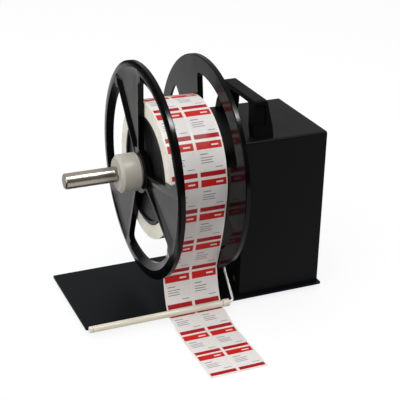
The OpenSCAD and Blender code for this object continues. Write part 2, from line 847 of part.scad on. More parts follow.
// Turns its children to each spoke, or to each window with a shift of half a spacing
module each_spoke(shift = 0) {
    for (i = [0:spoke_count - 1])
        rotate([(i + shift) * 360 / spoke_count, 0, 0]) children();
}

// Spoked flange with its plain face at x = 0 and its rounded rim and pocketed spokes towards +X
module flange_body() {
    window_half = 180 / spoke_count - spoke_angle / 2;
    crest_r = flange_r - rim_width / 2;
    rim_rise = flange_thick - flange_edge;
    rim_round = (pow(rim_width / 2, 2) + pow(rim_rise, 2)) / (2 * rim_rise);
    rim_turn = asin(rim_width / 2 / rim_round);
    rim_centre = [crest_r, flange_thick - rim_round];
    back_round = 1;
    crest = [crest_r - 1, flange_thick];
    fall = crest - [window_r, flange_thick - rim_fall];
    corner_turn = asin(window_corner / (window_r - window_corner)) + 0.3;
    difference() {
        turned(0, [0, 0])
            polygon(concat([[flange_bore_r, 0]],
                arc_points([flange_r - back_round, back_round], back_round, -90, 0, 4),
                arc_points(rim_centre, rim_round, 90 - rim_turn, 90, 6), [[flange_bore_r, flange_thick]]));
        each_spoke() spoke_pocket();
        each_spoke(0.5)
            along_x(-nothing, flange_thick + 2 * nothing)
                polygon(sector_points(boss_r, window_r, window_half, window_corner));
        each_spoke(0.5)
            intersection() {
                turned(0, [0, 0])
                    polygon([crest + 0.3 * fall, crest - [1.2 * fall.x, -0.3 * fall.y], crest - 1.2 * fall]);
                along_x(0, 2 * flange_thick)
                    polygon(sector_points(boss_r, flange_r, window_half - corner_turn, window_corner));
            }
    }
}

// Pocket in a spoke along the local x axis: a wedge whose sides slope down to its floor
module spoke_pocket() {
    half = spoke_angle / 2;
    tip = lip_width / sin(half);
    floor_tip = tip + pocket_slope / sin(half);
    end = flange_r - pocket_margin;
    floor_end = end - pocket_slope;
    growth = (end - tip) / (floor_end - floor_tip);
    still = (floor_tip * growth - tip) / (growth - 1);
    overcut = 1.1;
    difference() {
        translate([spoke_thick, 0, 0])
            rotate([90, 0, 90])
                translate([still, 0])
                    linear_extrude((flange_thick - spoke_thick) * overcut, slices = 1,
                        scale = 1 + (growth - 1) * overcut)
                        translate([-still, 0])
                            polygon(wedge_points(floor_tip, floor_end, half, window_corner / 2));
        rod_x(0, 2 * flange_thick, [0, 0], boss_r + lip_width);
    }
}

// Outline of a wedge from its tip on the local x axis to an arc about the origin, with rounded corners
function wedge_points(tip, end, half, corner) =
    let (side = sqrt(pow(end, 2) - pow(tip * sin(half), 2)) - tip * cos(half))
    let (turn = asin(side * sin(half) / end))
    let (start = [tip, 0], upper = end * unit_at(turn), lower = end * unit_at(-turn))
    let (near_upper = end * unit_at(turn / 2), near_lower = end * unit_at(-turn / 2))
    concat(corner_points(upper, start, lower, corner / 2, 3),
        corner_points(start, lower, near_lower, corner, 4), [near_lower, [end, 0], near_upper],
        corner_points(near_upper, upper, start, corner, 4));

module inner_flange() {
    color(black_gloss) placed()
        translate([inner_flange_face, spindle_y, spindle_z])
            rotate([inner_phase, 0, 0]) flange_body();
}

module outer_flange() {
    color(black_gloss) placed()
        translate([outer_flange_face, spindle_y, spindle_z])
            rotate([outer_phase, 0, 0])
                mirror([1, 0, 0]) flange_body();
}

module lock_hub() {
    grub_x = hub_front + hub_len / 2;
    color(nylon) placed()
        difference() {
            turned(hub_front, axis_point)
                polygon([[flange_bore_r, 0], [hub_dia / 2 - hub_chamfer, 0], [hub_dia / 2, hub_chamfer],
                    [hub_dia / 2, hub_len - hub_chamfer], [hub_dia / 2 - hub_chamfer, hub_len],
                    [flange_bore_r, hub_len]]);
            translate([grub_x, spindle_y, spindle_z])
                rotate([-90, 0, 0]) cylinder(h = hub_dia, r = grub_dia / 2 + fit_gap);
        }
}

module lock_screw() {
    grub_x = hub_front + hub_len / 2;
    tip = spindle_r + run_gap;
    length = hub_dia / 2 - 1 - tip;
    color(steel) placed()
        translate([grub_x, spindle_y + tip, spindle_z])
            rotate([-90, 0, 0])
                difference() {
                    cylinder(h = length, r = grub_dia / 2);
                    translate([0, 0, length / 2]) cylinder(h = length, r = grub_dia / 4, $fn = 6);
                }
}

// Drum that the labels wind on: a cup with a closed, lipped front and ribs inside
module core_drum() {
    front = outer_flange_face + run_gap;
    length = inner_flange_face - front;
    face_thick = 5;
    face_recess = 2.4;
    lip = 4;
    lip_round = 1.8;
    hub_r = spindle_r + 6;
    ring_wall = 2.5;
    rib_thick = 2;
    ring_r = (hub_r + drum_r - drum_wall + ring_wall) / 2;
    rib_len = length * 0.8;
    color(black_moulded) placed()
        union() {
            turned(front, axis_point)
                polygon(concat(
                    [[spindle_r + fit_gap / 2, 0], [hub_r, 0], [hub_r, face_recess],
                        [drum_r - lip, face_recess], [drum_r - lip, 0]],
                    arc_points([drum_r - lip_round, lip_round], lip_round, -90, 0, 5),
                    [[drum_r, length], [drum_r - drum_wall, length], [drum_r - drum_wall, face_thick],
                        [ring_r, face_thick], [ring_r, face_thick + rib_len],
                        [ring_r - ring_wall, face_thick + rib_len], [ring_r - ring_wall, face_thick],
                        [hub_r, face_thick], [hub_r, length], [spindle_r + fit_gap / 2, length]]));
            for (i = [0:drum_ribs - 1])
                translate([0, spindle_y, spindle_z])
                    rotate([i * 360 / drum_ribs, 0, 0])
                        translate([front + face_thick / 2, hub_r - drum_wall / 4, -rib_thick / 2])
                            cube([rib_len, drum_r - drum_wall / 2 - hub_r, rib_thick]);
        }
}

roll_x = inner_flange_face - 0.8 - web_width;

module label_roll() {
    color(paper) placed()
        turned(roll_x, axis_point)
            translate([drum_r + fit_gap, 0]) square([roll_r - drum_r - fit_gap, web_width]);
}

// Route of the label web in the YZ plane, from the roll down to the table
web_r = roll_r + run_gap + web_thick / 2;
web_leave = 186;
web_lap = 16;
web_slack = 45;
crease = [crease_setback, crease_height];
crease_fold = 4;
leave_point = axis_point + web_r * [cos(web_leave), sin(web_leave)];
slack_point = leave_point + web_slack * [-sin(web_leave), cos(web_leave)];
wrap_r = roller_r + run_gap + web_thick / 2;
wrap_start = -35;
wrap_end = -86;
wrap_lead = 16;
wrap_point = roller_point + wrap_r * [cos(wrap_start), sin(wrap_start)];
wrap_lead_point = wrap_point - wrap_lead * [sin(wrap_start), -cos(wrap_start)];
wrap_leave = roller_point + wrap_r * [cos(wrap_end), sin(wrap_end)];
tail_lift = 0.3;
tail_z = floor_z + tail_lift + web_thick / 2;
touch_down = 44;
touch_point = [wrap_leave.x - touch_down, tail_z];
crease_in = crease + crease_fold * unit(slack_point - crease);
crease_out = crease + crease_fold * unit(wrap_lead_point - crease);
web_route = concat(
    arc_points(axis_point, web_r, web_leave - web_lap, web_leave, 8),
    [for (i = [1:10]) bezier([leave_point, slack_point, crease_in], i / 10)],
    [for (i = [1:4]) bezier([crease_in, crease, crease_out], i / 4)],
    [for (i = [1:8]) bezier([crease_out, wrap_lead_point, wrap_point], i / 8)],
    [for (i = [1:8])
        let (a = wrap_start + (wrap_end - wrap_start) * i / 8) roller_point + wrap_r * [cos(a), sin(a)]],
    [for (i = [1:10]) bezier([wrap_leave, wrap_leave + 18 * [sin(wrap_end), -cos(wrap_end)],
        touch_point + [20, 0], touch_point], i / 10)],
    [[-tail_reach, tail_z]]);

function route_normal(points, i) =
    let (d = unit(points[min(i + 1, len(points) - 1)] - points[max(i - 1, 0)])) [-d.y, d.x];

function strip(points, thick) = concat(
    [for (i = [0:len(points) - 1]) points[i] + route_normal(points, i) * thick / 2],
    [for (i = [len(points) - 1:-1:0]) points[i] - route_normal(points, i) * thick / 2]);

module label_web() {
    color("#f3efe8") placed()
        along_x(roll_x, web_width) polygon(strip(web_route, web_thick));
}

// Tension arm
arm_vector = roller_point - pivot_point;
arm_len = norm(arm_vector);
arm_angle = atan2(arm_vector.y, arm_vector.x);
arm_across = [-sin(arm_angle), cos(arm_angle)];
stop_point = pivot_point + stop_reach * unit(arm_vector) + arm_across * (rod_r + run_gap + stop_dia / 2);
bush_out_r = pivot_r + 2;
bush_flange = 1.5;
bush_flange_r = pivot_r + 5;
bush_inside = 3.5;
arm_hub_left = arm_x - 3.5;
arm_hub_right = housing_left - bush_flange - run_gap;
flag_gap = run_gap;
flag_x = front_bearing_x + bush_inside + flag_gap;
flag_hub_len = 5;
flag_thick = 1;
flag_r = 24;
flag_from = -8;
flag_to = 42;
sensor_angle = -22;
collar_gap = run_gap;
roller_collar_len = 7;
roller_collar_dia = 8;
leg_right = arm_x - rod_bend;
collar_x = leg_right - roller_collar_len;
roller_x = collar_x - collar_gap - roller_len;
cap_len = 2.5;
leg_left = roller_x - collar_gap - cap_len;

// Bent steel rod: pivot hub, arm, bend and the leg that carries the roller
module tension_arm() {
    hub_len = arm_hub_right - arm_hub_left;
    color(steel) placed()
        union() {
            difference() {
                union() {
                    rod_x(arm_hub_left, hub_len, pivot_point, arm_hub_dia / 2);
                    along_arm() rotate([-90, 0, 0]) cylinder(h = arm_len - rod_bend, r = rod_r);
                }
                rod_x(arm_hub_left - nothing, hub_len + 2 * nothing, pivot_point, pivot_r + fit_gap / 2);
            }
            along_arm()
                translate([-rod_bend, arm_len - rod_bend, 0])
                    rotate_extrude(angle = 90)
                        translate([rod_bend, 0]) circle(r = rod_r);
            along_arm()
                translate([leg_left - arm_x, arm_len, 0])
                    rotate([0, 90, 0]) cylinder(h = leg_right - leg_left, r = rod_r);
        }
}

// Local frame of the arm: y runs from the pivot to the roller
module along_arm() {
    translate([arm_x, pivot_point.x, pivot_point.y])
        rotate([arm_angle, 0, 0]) children();
}

module arm_pivot_pin() {
    pin_left = arm_hub_left - 1;
    pin_right = flag_x + flag_hub_len;
    head_r = pivot_r + 1.5;
    color(zinc) placed()
        turned(pin_left, pivot_point)
            polygon([[0, 0], [head_r - 0.5, 0], [head_r, 0.5], [head_r, 1], [pivot_r, 1],
                [pivot_r, pin_right - pin_left - 0.5], [pivot_r - 0.5, pin_right - pin_left],
                [0, pin_right - pin_left]]);
}

module arm_pivot_bush() {
    length = bush_flange + plate_thick + bush_inside;
    color(bronze) placed()
        turned(housing_left - bush_flange, pivot_point)
            polygon([[pivot_r + fit_gap, 0], [bush_flange_r, 0], [bush_flange_r, bush_flange],
                [bush_out_r, bush_flange], [bush_out_r, length], [pivot_r + fit_gap, length]]);
}

module arm_stop_pin() {
    outer = arm_x - rod_r - 1.5;
    color(rubber_black) placed()
        turned(outer, stop_point)
            polygon([[0, 0], [stop_dia / 2 - 0.8, 0], [stop_dia / 2, 0.8],
                [stop_dia / 2, housing_left + plate_thick - outer], [0, housing_left + plate_thick - outer]]);
}

// Flag on the pivot pin that swings through the sensor's slot
module sensor_flag() {
    hub_r = pivot_r + 3;
    color(zinc) placed()
        translate([0, pivot_point.x, pivot_point.y])
            difference() {
                union() {
                    rod_x(flag_x, flag_hub_len, [0, 0], hub_r);
                    along_x(flag_x, flag_thick)
                        polygon(concat([[0, 0]], arc_points([0, 0], flag_r, flag_from, flag_to, 10)));
                }
                rod_x(flag_x - nothing, flag_hub_len + 2 * nothing, [0, 0], pivot_r + fit_gap / 2);
            }
}

module arm_sensor() {
    slot = flag_thick + 2 * run_gap + 0.6;
    slot_x = flag_x + flag_thick / 2 - slot / 2;
    arm_thick = 3;
    width = 8;
    near = flag_r - 8;
    depth = 8 + run_gap + 4;
    far = slot_x + slot + arm_thick;
    color("#1a1a1a") placed()
        translate([0, pivot_point.x, pivot_point.y])
            rotate([sensor_angle, 0, 0])
                difference() {
                    translate([front_bearing_x, near, -width / 2])
                        cube([far - front_bearing_x, depth, width]);
                    translate([slot_x, near - nothing, -width])
                        cube([slot, flag_r + run_gap - near, 2 * width]);
                }
}

module roller_collar() {
    color(nylon) placed()
        turned(collar_x, roller_point)
            polygon([[rod_r + fit_gap / 2, 0], [roller_collar_dia / 2 - 0.6, 0], [roller_collar_dia / 2, 0.6],
                [roller_collar_dia / 2, roller_collar_len - 0.6],
                [roller_collar_dia / 2 - 0.6, roller_collar_len], [rod_r + fit_gap / 2, roller_collar_len]]);
}

module roller_cap() {
    color(nylon) placed()
        turned(leg_left - 0.8, roller_point)
            polygon([[0, 0], [roller_r - 0.6, 0], [roller_r, 0.6], [roller_r, cap_len + 0.8],
                [rod_r + fit_gap / 2, cap_len + 0.8], [rod_r + fit_gap / 2, 0.8 - nothing],
                [0, 0.8 - nothing]]);
}

module guide_roller() {
    color(nylon) placed()
        turned(roller_x, roller_point)
            polygon([[rod_r + fit_gap, 0], [roller_r - 0.4, 0], [roller_r, 0.4], [roller_r, roller_len - 0.4],
                [roller_r - 0.4, roller_len], [rod_r + fit_gap, roller_len]]);
}

// Circuit board
board_gap = 2;
board_x = rear_plate_x + plate_thick + plate_fold + board_gap;
board_y = housing_front + tie_inset + tie_dia / 2 + board_gap;
board_size = [end_plate_x - board_gap - board_x, 2 * (spindle_y - board_y), 1.6];
board_z = 12;
board_margin = 3.5;
board_holes = [for (x = [board_margin, board_size.x - board_margin],
    y = [board_margin, board_size.y - board_margin])
    [board_x + x, board_y + y]];

module circuit_board() {
    chip = [10, 14, 3];
    heat_sink = [4, 22, 16];
    terminal = [9, 20, 10];
    color("#2e5b3a") placed() {
        difference() {
            translate([board_x, board_y, board_z]) cube(board_size);
            for (p = board_holes)
                translate([p.x, p.y, board_z - nothing])
                    cylinder(h = board_size.z + 2 * nothing, r = motor_screw_r + screw_gap);
        }
        translate([board_x, board_y, board_z + board_size.z - nothing]) {
            translate([3, board_size.y / 2 - chip.y / 2, 0]) cube(chip);
            translate([board_size.x - 2 * heat_sink.x, board_size.y / 2 - heat_sink.y / 2, 0])
                cube(heat_sink);
            translate([8, board_size.y - terminal.y - 3, 0]) cube(terminal);
            translate([board_size.x / 2, 14, 0]) cylinder(h = 14, r = 5);
        }
    }
}

module board_standoffs() {
    post_r = 3;
    color(bronze) placed()
        for (p = board_holes) {
            translate([p.x, p.y, 0]) cylinder(h = board_z, r = post_r);
            translate([p.x, p.y, board_z - nothing]) cylinder(h = board_size.z + 2, r = motor_screw_r);
        }
}

// Controls on the back wall: their local z axis points out of the wall
control_x = [housing_left + 19, housing_left + 19 + control_pitch, housing_left + 20 + 2 * control_pitch];
bush_r = 3.5;
inlet_r = 4;
bezel_thick = 2;

module on_back_wall(x, z) {
    translate([x, housing_back, z]) rotate([-90, 0, 0]) children();
}

module switch_place(i) {
    on_back_wall(control_x[i], control_height) children();
}

module knob_place() {
    on_back_wall(control_x[2], control_height) children();
}

module inlet_place() {
    on_back_wall(control_x[0], inlet_height) children();
}

switch_body_len = switch_len - 2;
switch_body_width = switch_width - 2;
pocket_len = switch_len - 4;
pocket_width = switch_width - 4;
pocket_depth = 5;
rocker_pivot = -0.5;
rocker_pin_r = 1.2;
pivot_half = pocket_width / 2 + 0.5;

module switch_cutout() {
    translate([0, 0, -sheet_thick])
        cube([switch_body_width + 2 * screw_gap, switch_body_len + 2 * screw_gap, 4 * sheet_thick],
            center = true);
}

module switch_body() {
    body_depth = 14;
    difference() {
        union() {
            translate([-switch_width / 2, -switch_len / 2, 0]) cube([switch_width, switch_len, bezel_thick]);
            translate([-switch_body_width / 2, -switch_body_len / 2, -body_depth])
                cube([switch_body_width, switch_body_len, body_depth + nothing]);
            for (y = [-5, 5])
                translate([-2.4, y - 0.4, -body_depth - 6]) cube([4.8, 0.8, 6 + nothing]);
        }
        translate([-pocket_width / 2, -pocket_len / 2, -pocket_depth])
            cube([pocket_width, pocket_len, pocket_depth + bezel_thick + nothing]);
        translate([-pivot_half - run_gap, 0, rocker_pivot])
            rotate([0, 90, 0]) cylinder(h = 2 * (pivot_half + run_gap), r = rocker_pin_r + fit_gap);
    }
}

// Paddle on a pivot pin, with a shallow valley across its face, drawn level and tipped to one side
module rocker(tilt) {
    half = pocket_len / 2 - run_gap - 0.55;
    width = pocket_width - 2 * run_gap;
    face = bezel_thick - rocker_pivot;
    translate([0, 0, rocker_pivot])
        rotate([tilt, 0, 0]) {
            rotate([90, 0, 90])
                translate([0, 0, -width / 2])
                    linear_extrude(width)
                        polygon([[-half + 1, -2.4], [half - 1, -2.4], [half, face + 1],
                            [half - 0.8, face + 1.4],
                            [0, face], [0.8 - half, face + 1.4], [-half, face + 1]]);
            translate([-pivot_half, 0, 0])
                rotate([0, 90, 0]) cylinder(h = 2 * pivot_half, r = rocker_pin_r);
        }
}

module power_switch_body() {
    color("#121212") placed() switch_place(0) switch_body();
}

module direction_switch_body() {
    color("#121212") placed() switch_place(1) switch_body();
}

module power_rocker() {
    color("#a3201c") placed() switch_place(0) rocker(rocker_tilt);
}

module direction_rocker() {
    color("#161616") placed() switch_place(1) rocker(0);
}

module speed_potentiometer() {
    body_r = 8;
    body_len = 9;
    nut_r = 6;
    nut = 2;
    color(zinc) placed()
        knob_place()
            difference() {
                union() {
                    translate([0, 0, -sheet_thick - body_len]) cylinder(h = body_len, r = body_r);
                    translate([0, 0, -sheet_thick - nothing])
                        cylinder(h = sheet_thick + nut + 1.5, r = bush_r);
                    cylinder(h = nut, r = nut_r, $fn = 6);
                }
                translate([0, 0, -sheet_thick - body_len / 2])
                    cylinder(h = 2 * body_len, r = motor_shaft_dia / 2 + fit_gap);
            }
}

knob_base = 4;

module knob_shaft() {
    color(steel) placed()
        knob_place()
            translate([0, 0, -4]) cylinder(h = 4 + knob_base + knob_height * 0.7, r = motor_shaft_dia / 2);
}

// Fluted outline of the knob's grip
function flute_points(radius, depth) =
    [for (i = [0:knob_flutes * 4 - 1])
        (radius - (i % 4 == 0 ? depth : i % 4 == 2 ? 0 : depth / 4)) * unit_at(i * 90 / knob_flutes)];

module speed_knob() {
    skirt = 3;
    flute = 0.9;
    grip_r = knob_dia / 2 - 1;
    pointer = 1.2;
    color("#151515") placed()
        knob_place()
            translate([0, 0, knob_base])
                difference() {
                    union() {
                        cylinder(h = skirt, r = knob_dia / 2);
                        linear_extrude(knob_height - 1) polygon(flute_points(grip_r, flute));
                        cylinder(h = knob_height, r = grip_r - 2 * flute);
                    }
                    translate([0, 0, -nothing])
                        cylinder(h = knob_height * 0.7 + fit_gap, r = motor_shaft_dia / 2 + fit_gap / 2);
                    translate([-pointer / 2, grip_r / 4, knob_height - pointer / 2])
                        cube([pointer, knob_dia, pointer]);
                }
}

module dc_inlet() {
    socket_r = 2.8;
    socket_depth = 9;
    color("#111111") placed()
        inlet_place()
            union() {
                difference() {
                    union() {
                        cylinder(h = 1.5, r = inlet_r + 2);
                        translate([0, 0, -12]) cylinder(h = 12 + nothing, r = inlet_r);
                    }
                    translate([0, 0, 1.5 - socket_depth]) cylinder(h = socket_depth + nothing, r = socket_r);
                }
                translate([0, 0, 1.4 - socket_depth]) cylinder(h = socket_depth - 1.5, r = 1);
            }
}

base_plate();
rubber_feet();
base_screws();
housing_cover();
end_plate();
end_plate_screws();
side_plate();
rear_bearing_plate();
tie_bars();
carry_handle();
handle_screws();
bearing_housings();
bearing_screws();
bearing_outer_rings();
bearing_balls();
gear_motor();
motor_screws();
circuit_board();
board_standoffs();
dc_inlet();
power_switch_body();
direction_switch_body();
speed_potentiometer();
arm_pivot_bush();
arm_stop_pin();
arm_sensor();
label_web();
spindle_shaft();
bearing_inner_rings();
spindle_spacers();
spindle_circlip();
drive_gear();
flange_collar();
inner_flange();
core_drum();
label_roll();
outer_flange();
lock_hub();
lock_screw();
motor_pinion();
tension_arm();
arm_pivot_pin();
sensor_flag();
roller_collar();
roller_cap();
guide_roller();
power_rocker();
direction_rocker();
knob_shaft();
speed_knob();
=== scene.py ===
"""Looks of a desktop label rewinder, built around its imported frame.

Each sub-assembly is a class that holds its sizes in millimetres, models its pieces and dresses
them. Machine coordinates start at the base plate's front left top corner: x runs along the
spindle towards the housing, y to the back and z up. The row frame is the same, moved and in metres.
"""

import logging
import math
from contextlib import contextmanager
from dataclasses import dataclass, field
from enum import Enum
from typing import Any, Callable, Iterable, Iterator

import bmesh
import bpy
from mathutils import Euler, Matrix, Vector

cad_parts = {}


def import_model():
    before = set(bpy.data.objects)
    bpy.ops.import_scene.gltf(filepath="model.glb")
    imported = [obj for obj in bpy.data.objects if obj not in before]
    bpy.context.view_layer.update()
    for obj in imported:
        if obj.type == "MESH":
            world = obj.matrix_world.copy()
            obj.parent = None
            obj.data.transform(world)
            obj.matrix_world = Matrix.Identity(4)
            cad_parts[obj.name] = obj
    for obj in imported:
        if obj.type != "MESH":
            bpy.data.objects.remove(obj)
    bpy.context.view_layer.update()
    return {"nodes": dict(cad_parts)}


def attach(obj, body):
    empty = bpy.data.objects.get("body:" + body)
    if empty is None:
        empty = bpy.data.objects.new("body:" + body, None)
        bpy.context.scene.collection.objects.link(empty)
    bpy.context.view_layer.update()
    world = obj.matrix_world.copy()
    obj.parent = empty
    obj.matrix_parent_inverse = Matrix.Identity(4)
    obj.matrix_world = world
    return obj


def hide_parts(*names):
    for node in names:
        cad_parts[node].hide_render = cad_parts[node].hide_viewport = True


Pair = tuple[float, float]
Triple = tuple[float, float, float]
Tree = bpy.types.NodeTree
Socket = bpy.types.NodeSocket
Rows = list[list[bmesh.types.BMVert]]

LOG = logging.getLogger("label_rewinder")
# Pixels along each side of the photograph
IMAGE_SIDE = 400
# A millimetre in metres
MM = 0.001
# Place of the machine's corner in the row frame, in millimetres
SHIFT = (-131.5, -28.75, 7.5)
# The spindle's axis, in millimetres
SPINDLE_Y = 60.0
SPINDLE_Z = 133.5
# Points of a CAD mesh that lie closer than this are one point, in millimetres
MERGE_BELOW = 0.002
# Faces of a CAD mesh that differ by less than this are one face, in degrees
FLAT_WITHIN = 0.4
# Edges of a CAD mesh below this angle are shaded smooth, in degrees
SMOOTH_BELOW = 35.0
# Points of the roll within this of a plane lie on it, in metres
ON_PLANE = 1e-6
# A face whose normal has a larger share along the spindle than this looks sideways
SIDEWAYS = 0.5
# Stretch of the noise over which a finish goes from its shade to its colour
NOISE_SPAN = (0.35, 0.65)
# Sockets of a Mix node: its share, its numbers, its colours and the colour that comes out
SHARE, NUMBER_A, NUMBER_B, COLOUR_A, COLOUR_B = 0, 2, 3, 6, 7
MIXED_COLOUR = 2


class Body(Enum):
    """The CAD bodies that pieces ride on."""

    CHASSIS = "chassis"
    SPINDLE = "spindle"
    SLIDING_FLANGE = "sliding_flange"
    ARM = "arm"
    ROLLER = "roller"
    POWER_PADDLE = "power_paddle"
    DIRECTION_PADDLE = "direction_paddle"
    KNOB = "knob"


class Element(Enum):
    """The elements of a mesh that a selection tests."""

    EDGES = "edges"
    FACES = "faces"


def at(x: float, y: float, z: float) -> Vector:
    """Moves a point of the machine into the row frame.

    Args:
        x: Millimetres along the spindle.
        y: Millimetres to the back.
        z: Millimetres above the base plate.

    Returns:
        The point in metres.
    """
    return Vector((x + SHIFT[0], y + SHIFT[1], z + SHIFT[2])) * MM


def linear(hex_colour: str) -> tuple[float, float, float, float]:
    """Turns an sRGB hex colour into linear light.

    Args:
        hex_colour: Six hex digits after a hash.

    Returns:
        Red, green, blue and alpha from 0 to 1.
    """
    values = [int(hex_colour[i : i + 2], 16) / 255 for i in (1, 3, 5)]
    # The sRGB curve is straight near black and a power above
    lit = [v / 12.92 if v <= 0.04045 else ((v + 0.055) / 1.055) ** 2.4 for v in values]
    return (lit[0], lit[1], lit[2], 1.0)


def feed(tree: Tree, node: bpy.types.Node, feeds: dict[Any, Any]) -> None:
    """Sets or links a node's inputs.

    Args:
        tree: The material's or world's node tree.
        node: The node.
        feeds: Input name or index to the output socket that feeds it, or to its value.
    """
    for name, value in feeds.items():
        socket = node.inputs[name]
        if isinstance(value, Socket):
            tree.links.new(value, socket)
        else:
            socket.default_value = value


def add_node(tree: Tree, kind: str, feeds: dict[Any, Any] | None = None, **settings: Any) -> bpy.types.Node:
    """Adds one shader node with its settings, values and links.

    Args:
        tree: The material's or world's node tree.
        kind: The node's type name after ShaderNode.
        feeds: Its inputs' values and links.
        settings: Properties of the node.

    Returns:
        The new node.
    """
    node = tree.nodes.new("ShaderNode" + kind)
    for name, value in settings.items():
        setattr(node, name, value)
    feed(tree, node, feeds or {})
    return node


@dataclass(frozen=True)
class Finish:
    """A material whose colour, gloss and relief vary with one grain.

    The grain is the size in millimetres of its noise along x, y and z, so that turned, drawn,
    moulded and coated surfaces differ by its shape. The relief and the slow patches that go
    with the grain are in millimetres too, and the detail counts the finer layers of its noise.
    """

    name: str
    colour: str
    shade: str
    roughness: float
    roughness_swing: float = 0.05
    metallic: float = 0.0
    ior: float = 1.5
    specular: float = 0.5
    grain: Triple = (1.0, 1.0, 1.0)
    relief: float = 0.01
    patch: float = 35.0
    detail: float = 3.0

    def material(self) -> bpy.types.Material:
        """Returns the finish's material, made on first use."""
        found = bpy.data.materials.get(self.name)
        if found:
            return found
        made = bpy.data.materials.new(self.name)
        made.use_nodes = True
        made.diffuse_color = linear(self.colour)
        self.paint(made.node_tree)
        return made

    def tone(self, tree: Tree, share: Socket) -> Socket:
        """Mixes the finish's two colours.

        Args:
            tree: The material's node tree.
            share: A socket that is 0 where the shade shows and 1 where the colour does.

        Returns:
            The socket of the mixed colour.
        """
        feeds = {SHARE: share, COLOUR_A: linear(self.shade), COLOUR_B: linear(self.colour)}
        return add_node(tree, "Mix", feeds, data_type="RGBA").outputs[MIXED_COLOUR]

    def paint(self, tree: Tree) -> None:
        """Builds the shader.

        Args:
            tree: The material's node tree, with its default shader.
        """
        place = add_node(tree, "TexCoord").outputs["Object"]
        scale = tuple(1 / (size * MM) for size in self.grain)
        moved = add_node(tree, "Mapping", {"Vector": place, "Scale": scale})
        grain = add_node(tree, "TexNoise", {"Vector": moved.outputs[0], "Scale": 1.0, "Detail": self.detail})
        patch = add_node(tree, "TexNoise", {"Vector": place, "Scale": 1 / (self.patch * MM)})
        both = add_node(tree, "Mix", {SHARE: 0.5, NUMBER_A: grain.outputs[0], NUMBER_B: patch.outputs[0]})
        low, high = NOISE_SPAN
        spread = add_node(tree, "MapRange", {"Value": both.outputs[0], "From Min": low, "From Max": high})
        smooth, rough = self.roughness - self.roughness_swing, self.roughness + self.roughness_swing
        gloss = add_node(tree, "MapRange", {"Value": spread.outputs[0], "To Min": smooth, "To Max": rough})
        bump = add_node(tree, "Bump", {"Height": grain.outputs[0], "Distance": self.relief * MM})
        feed(tree, tree.nodes["Principled BSDF"], {
            "Base Color": self.tone(tree, spread.outputs[0]), "Roughness": gloss.outputs[0],
            "Normal": bump.outputs[0], "Metallic": self.metallic, "IOR": self.ior,
            "Specular IOR Level": self.specular,
        })


@dataclass(frozen=True)
class WoundEdge(Finish):
    """Edge of wound paper: fine rings about the spindle, a few standing proud, with painted shade.

    The rings and the slow shade across them are sizes in millimetres. The colour goes to its shade, as
    painted shade, where the rings' hollows and the slow shade are low.
    """

    ring: float = 0.45
    ring_detail: float = 4.0
    slow_shade: float = 14.0
    shade_span: Pair = (0.1, 0.36)

    def paint(self, tree: Tree) -> None:
        """Builds the shader.

        Args:
            tree: The material's node tree, with its default shader.
        """
        place = add_node(tree, "TexCoord").outputs["Object"]
        axis = at(0, SPINDLE_Y, SPINDLE_Z)
        from_axis = add_node(tree, "VectorMath", {0: place, 1: (0, axis.y, axis.z)}, operation="SUBTRACT")
        flat = add_node(tree, "VectorMath", {0: from_axis.outputs[0], 1: (0, 1, 1)}, operation="MULTIPLY")
        radius = add_node(tree, "VectorMath", {0: flat.outputs[0]}, operation="LENGTH").outputs["Value"]
        ring = {"W": radius, "Scale": 1 / (self.ring * MM), "Detail": self.ring_detail}
        rings = add_node(tree, "TexNoise", ring, noise_dimensions="1D")
        slow_shade = {"Vector": place, "Scale": 1 / (self.slow_shade * MM), "Detail": self.detail}
        slow_shades = add_node(tree, "TexNoise", slow_shade)
        # Painted shade: darker where the rings' hollows and the slow shade are low
        both = add_node(tree, "Math", {0: rings.outputs[0], 1: slow_shades.outputs[0]}, operation="MULTIPLY")
        low, high = self.shade_span
        unshaded = add_node(tree, "MapRange", {"Value": both.outputs[0], "From Min": low, "From Max": high})
        bump = add_node(tree, "Bump", {"Height": rings.outputs[0], "Distance": self.relief * MM})
        feed(tree, tree.nodes["Principled BSDF"], {
            "Base Color": self.tone(tree, unshaded.outputs[0]), "Roughness": self.roughness,
            "Normal": bump.outputs[0],
        })


@dataclass(frozen=True)
class PrintArea:
    """A printed rectangle: its colour, and its spans across and along the label as shares."""

    tint: str
    across: Pair
    along: Pair


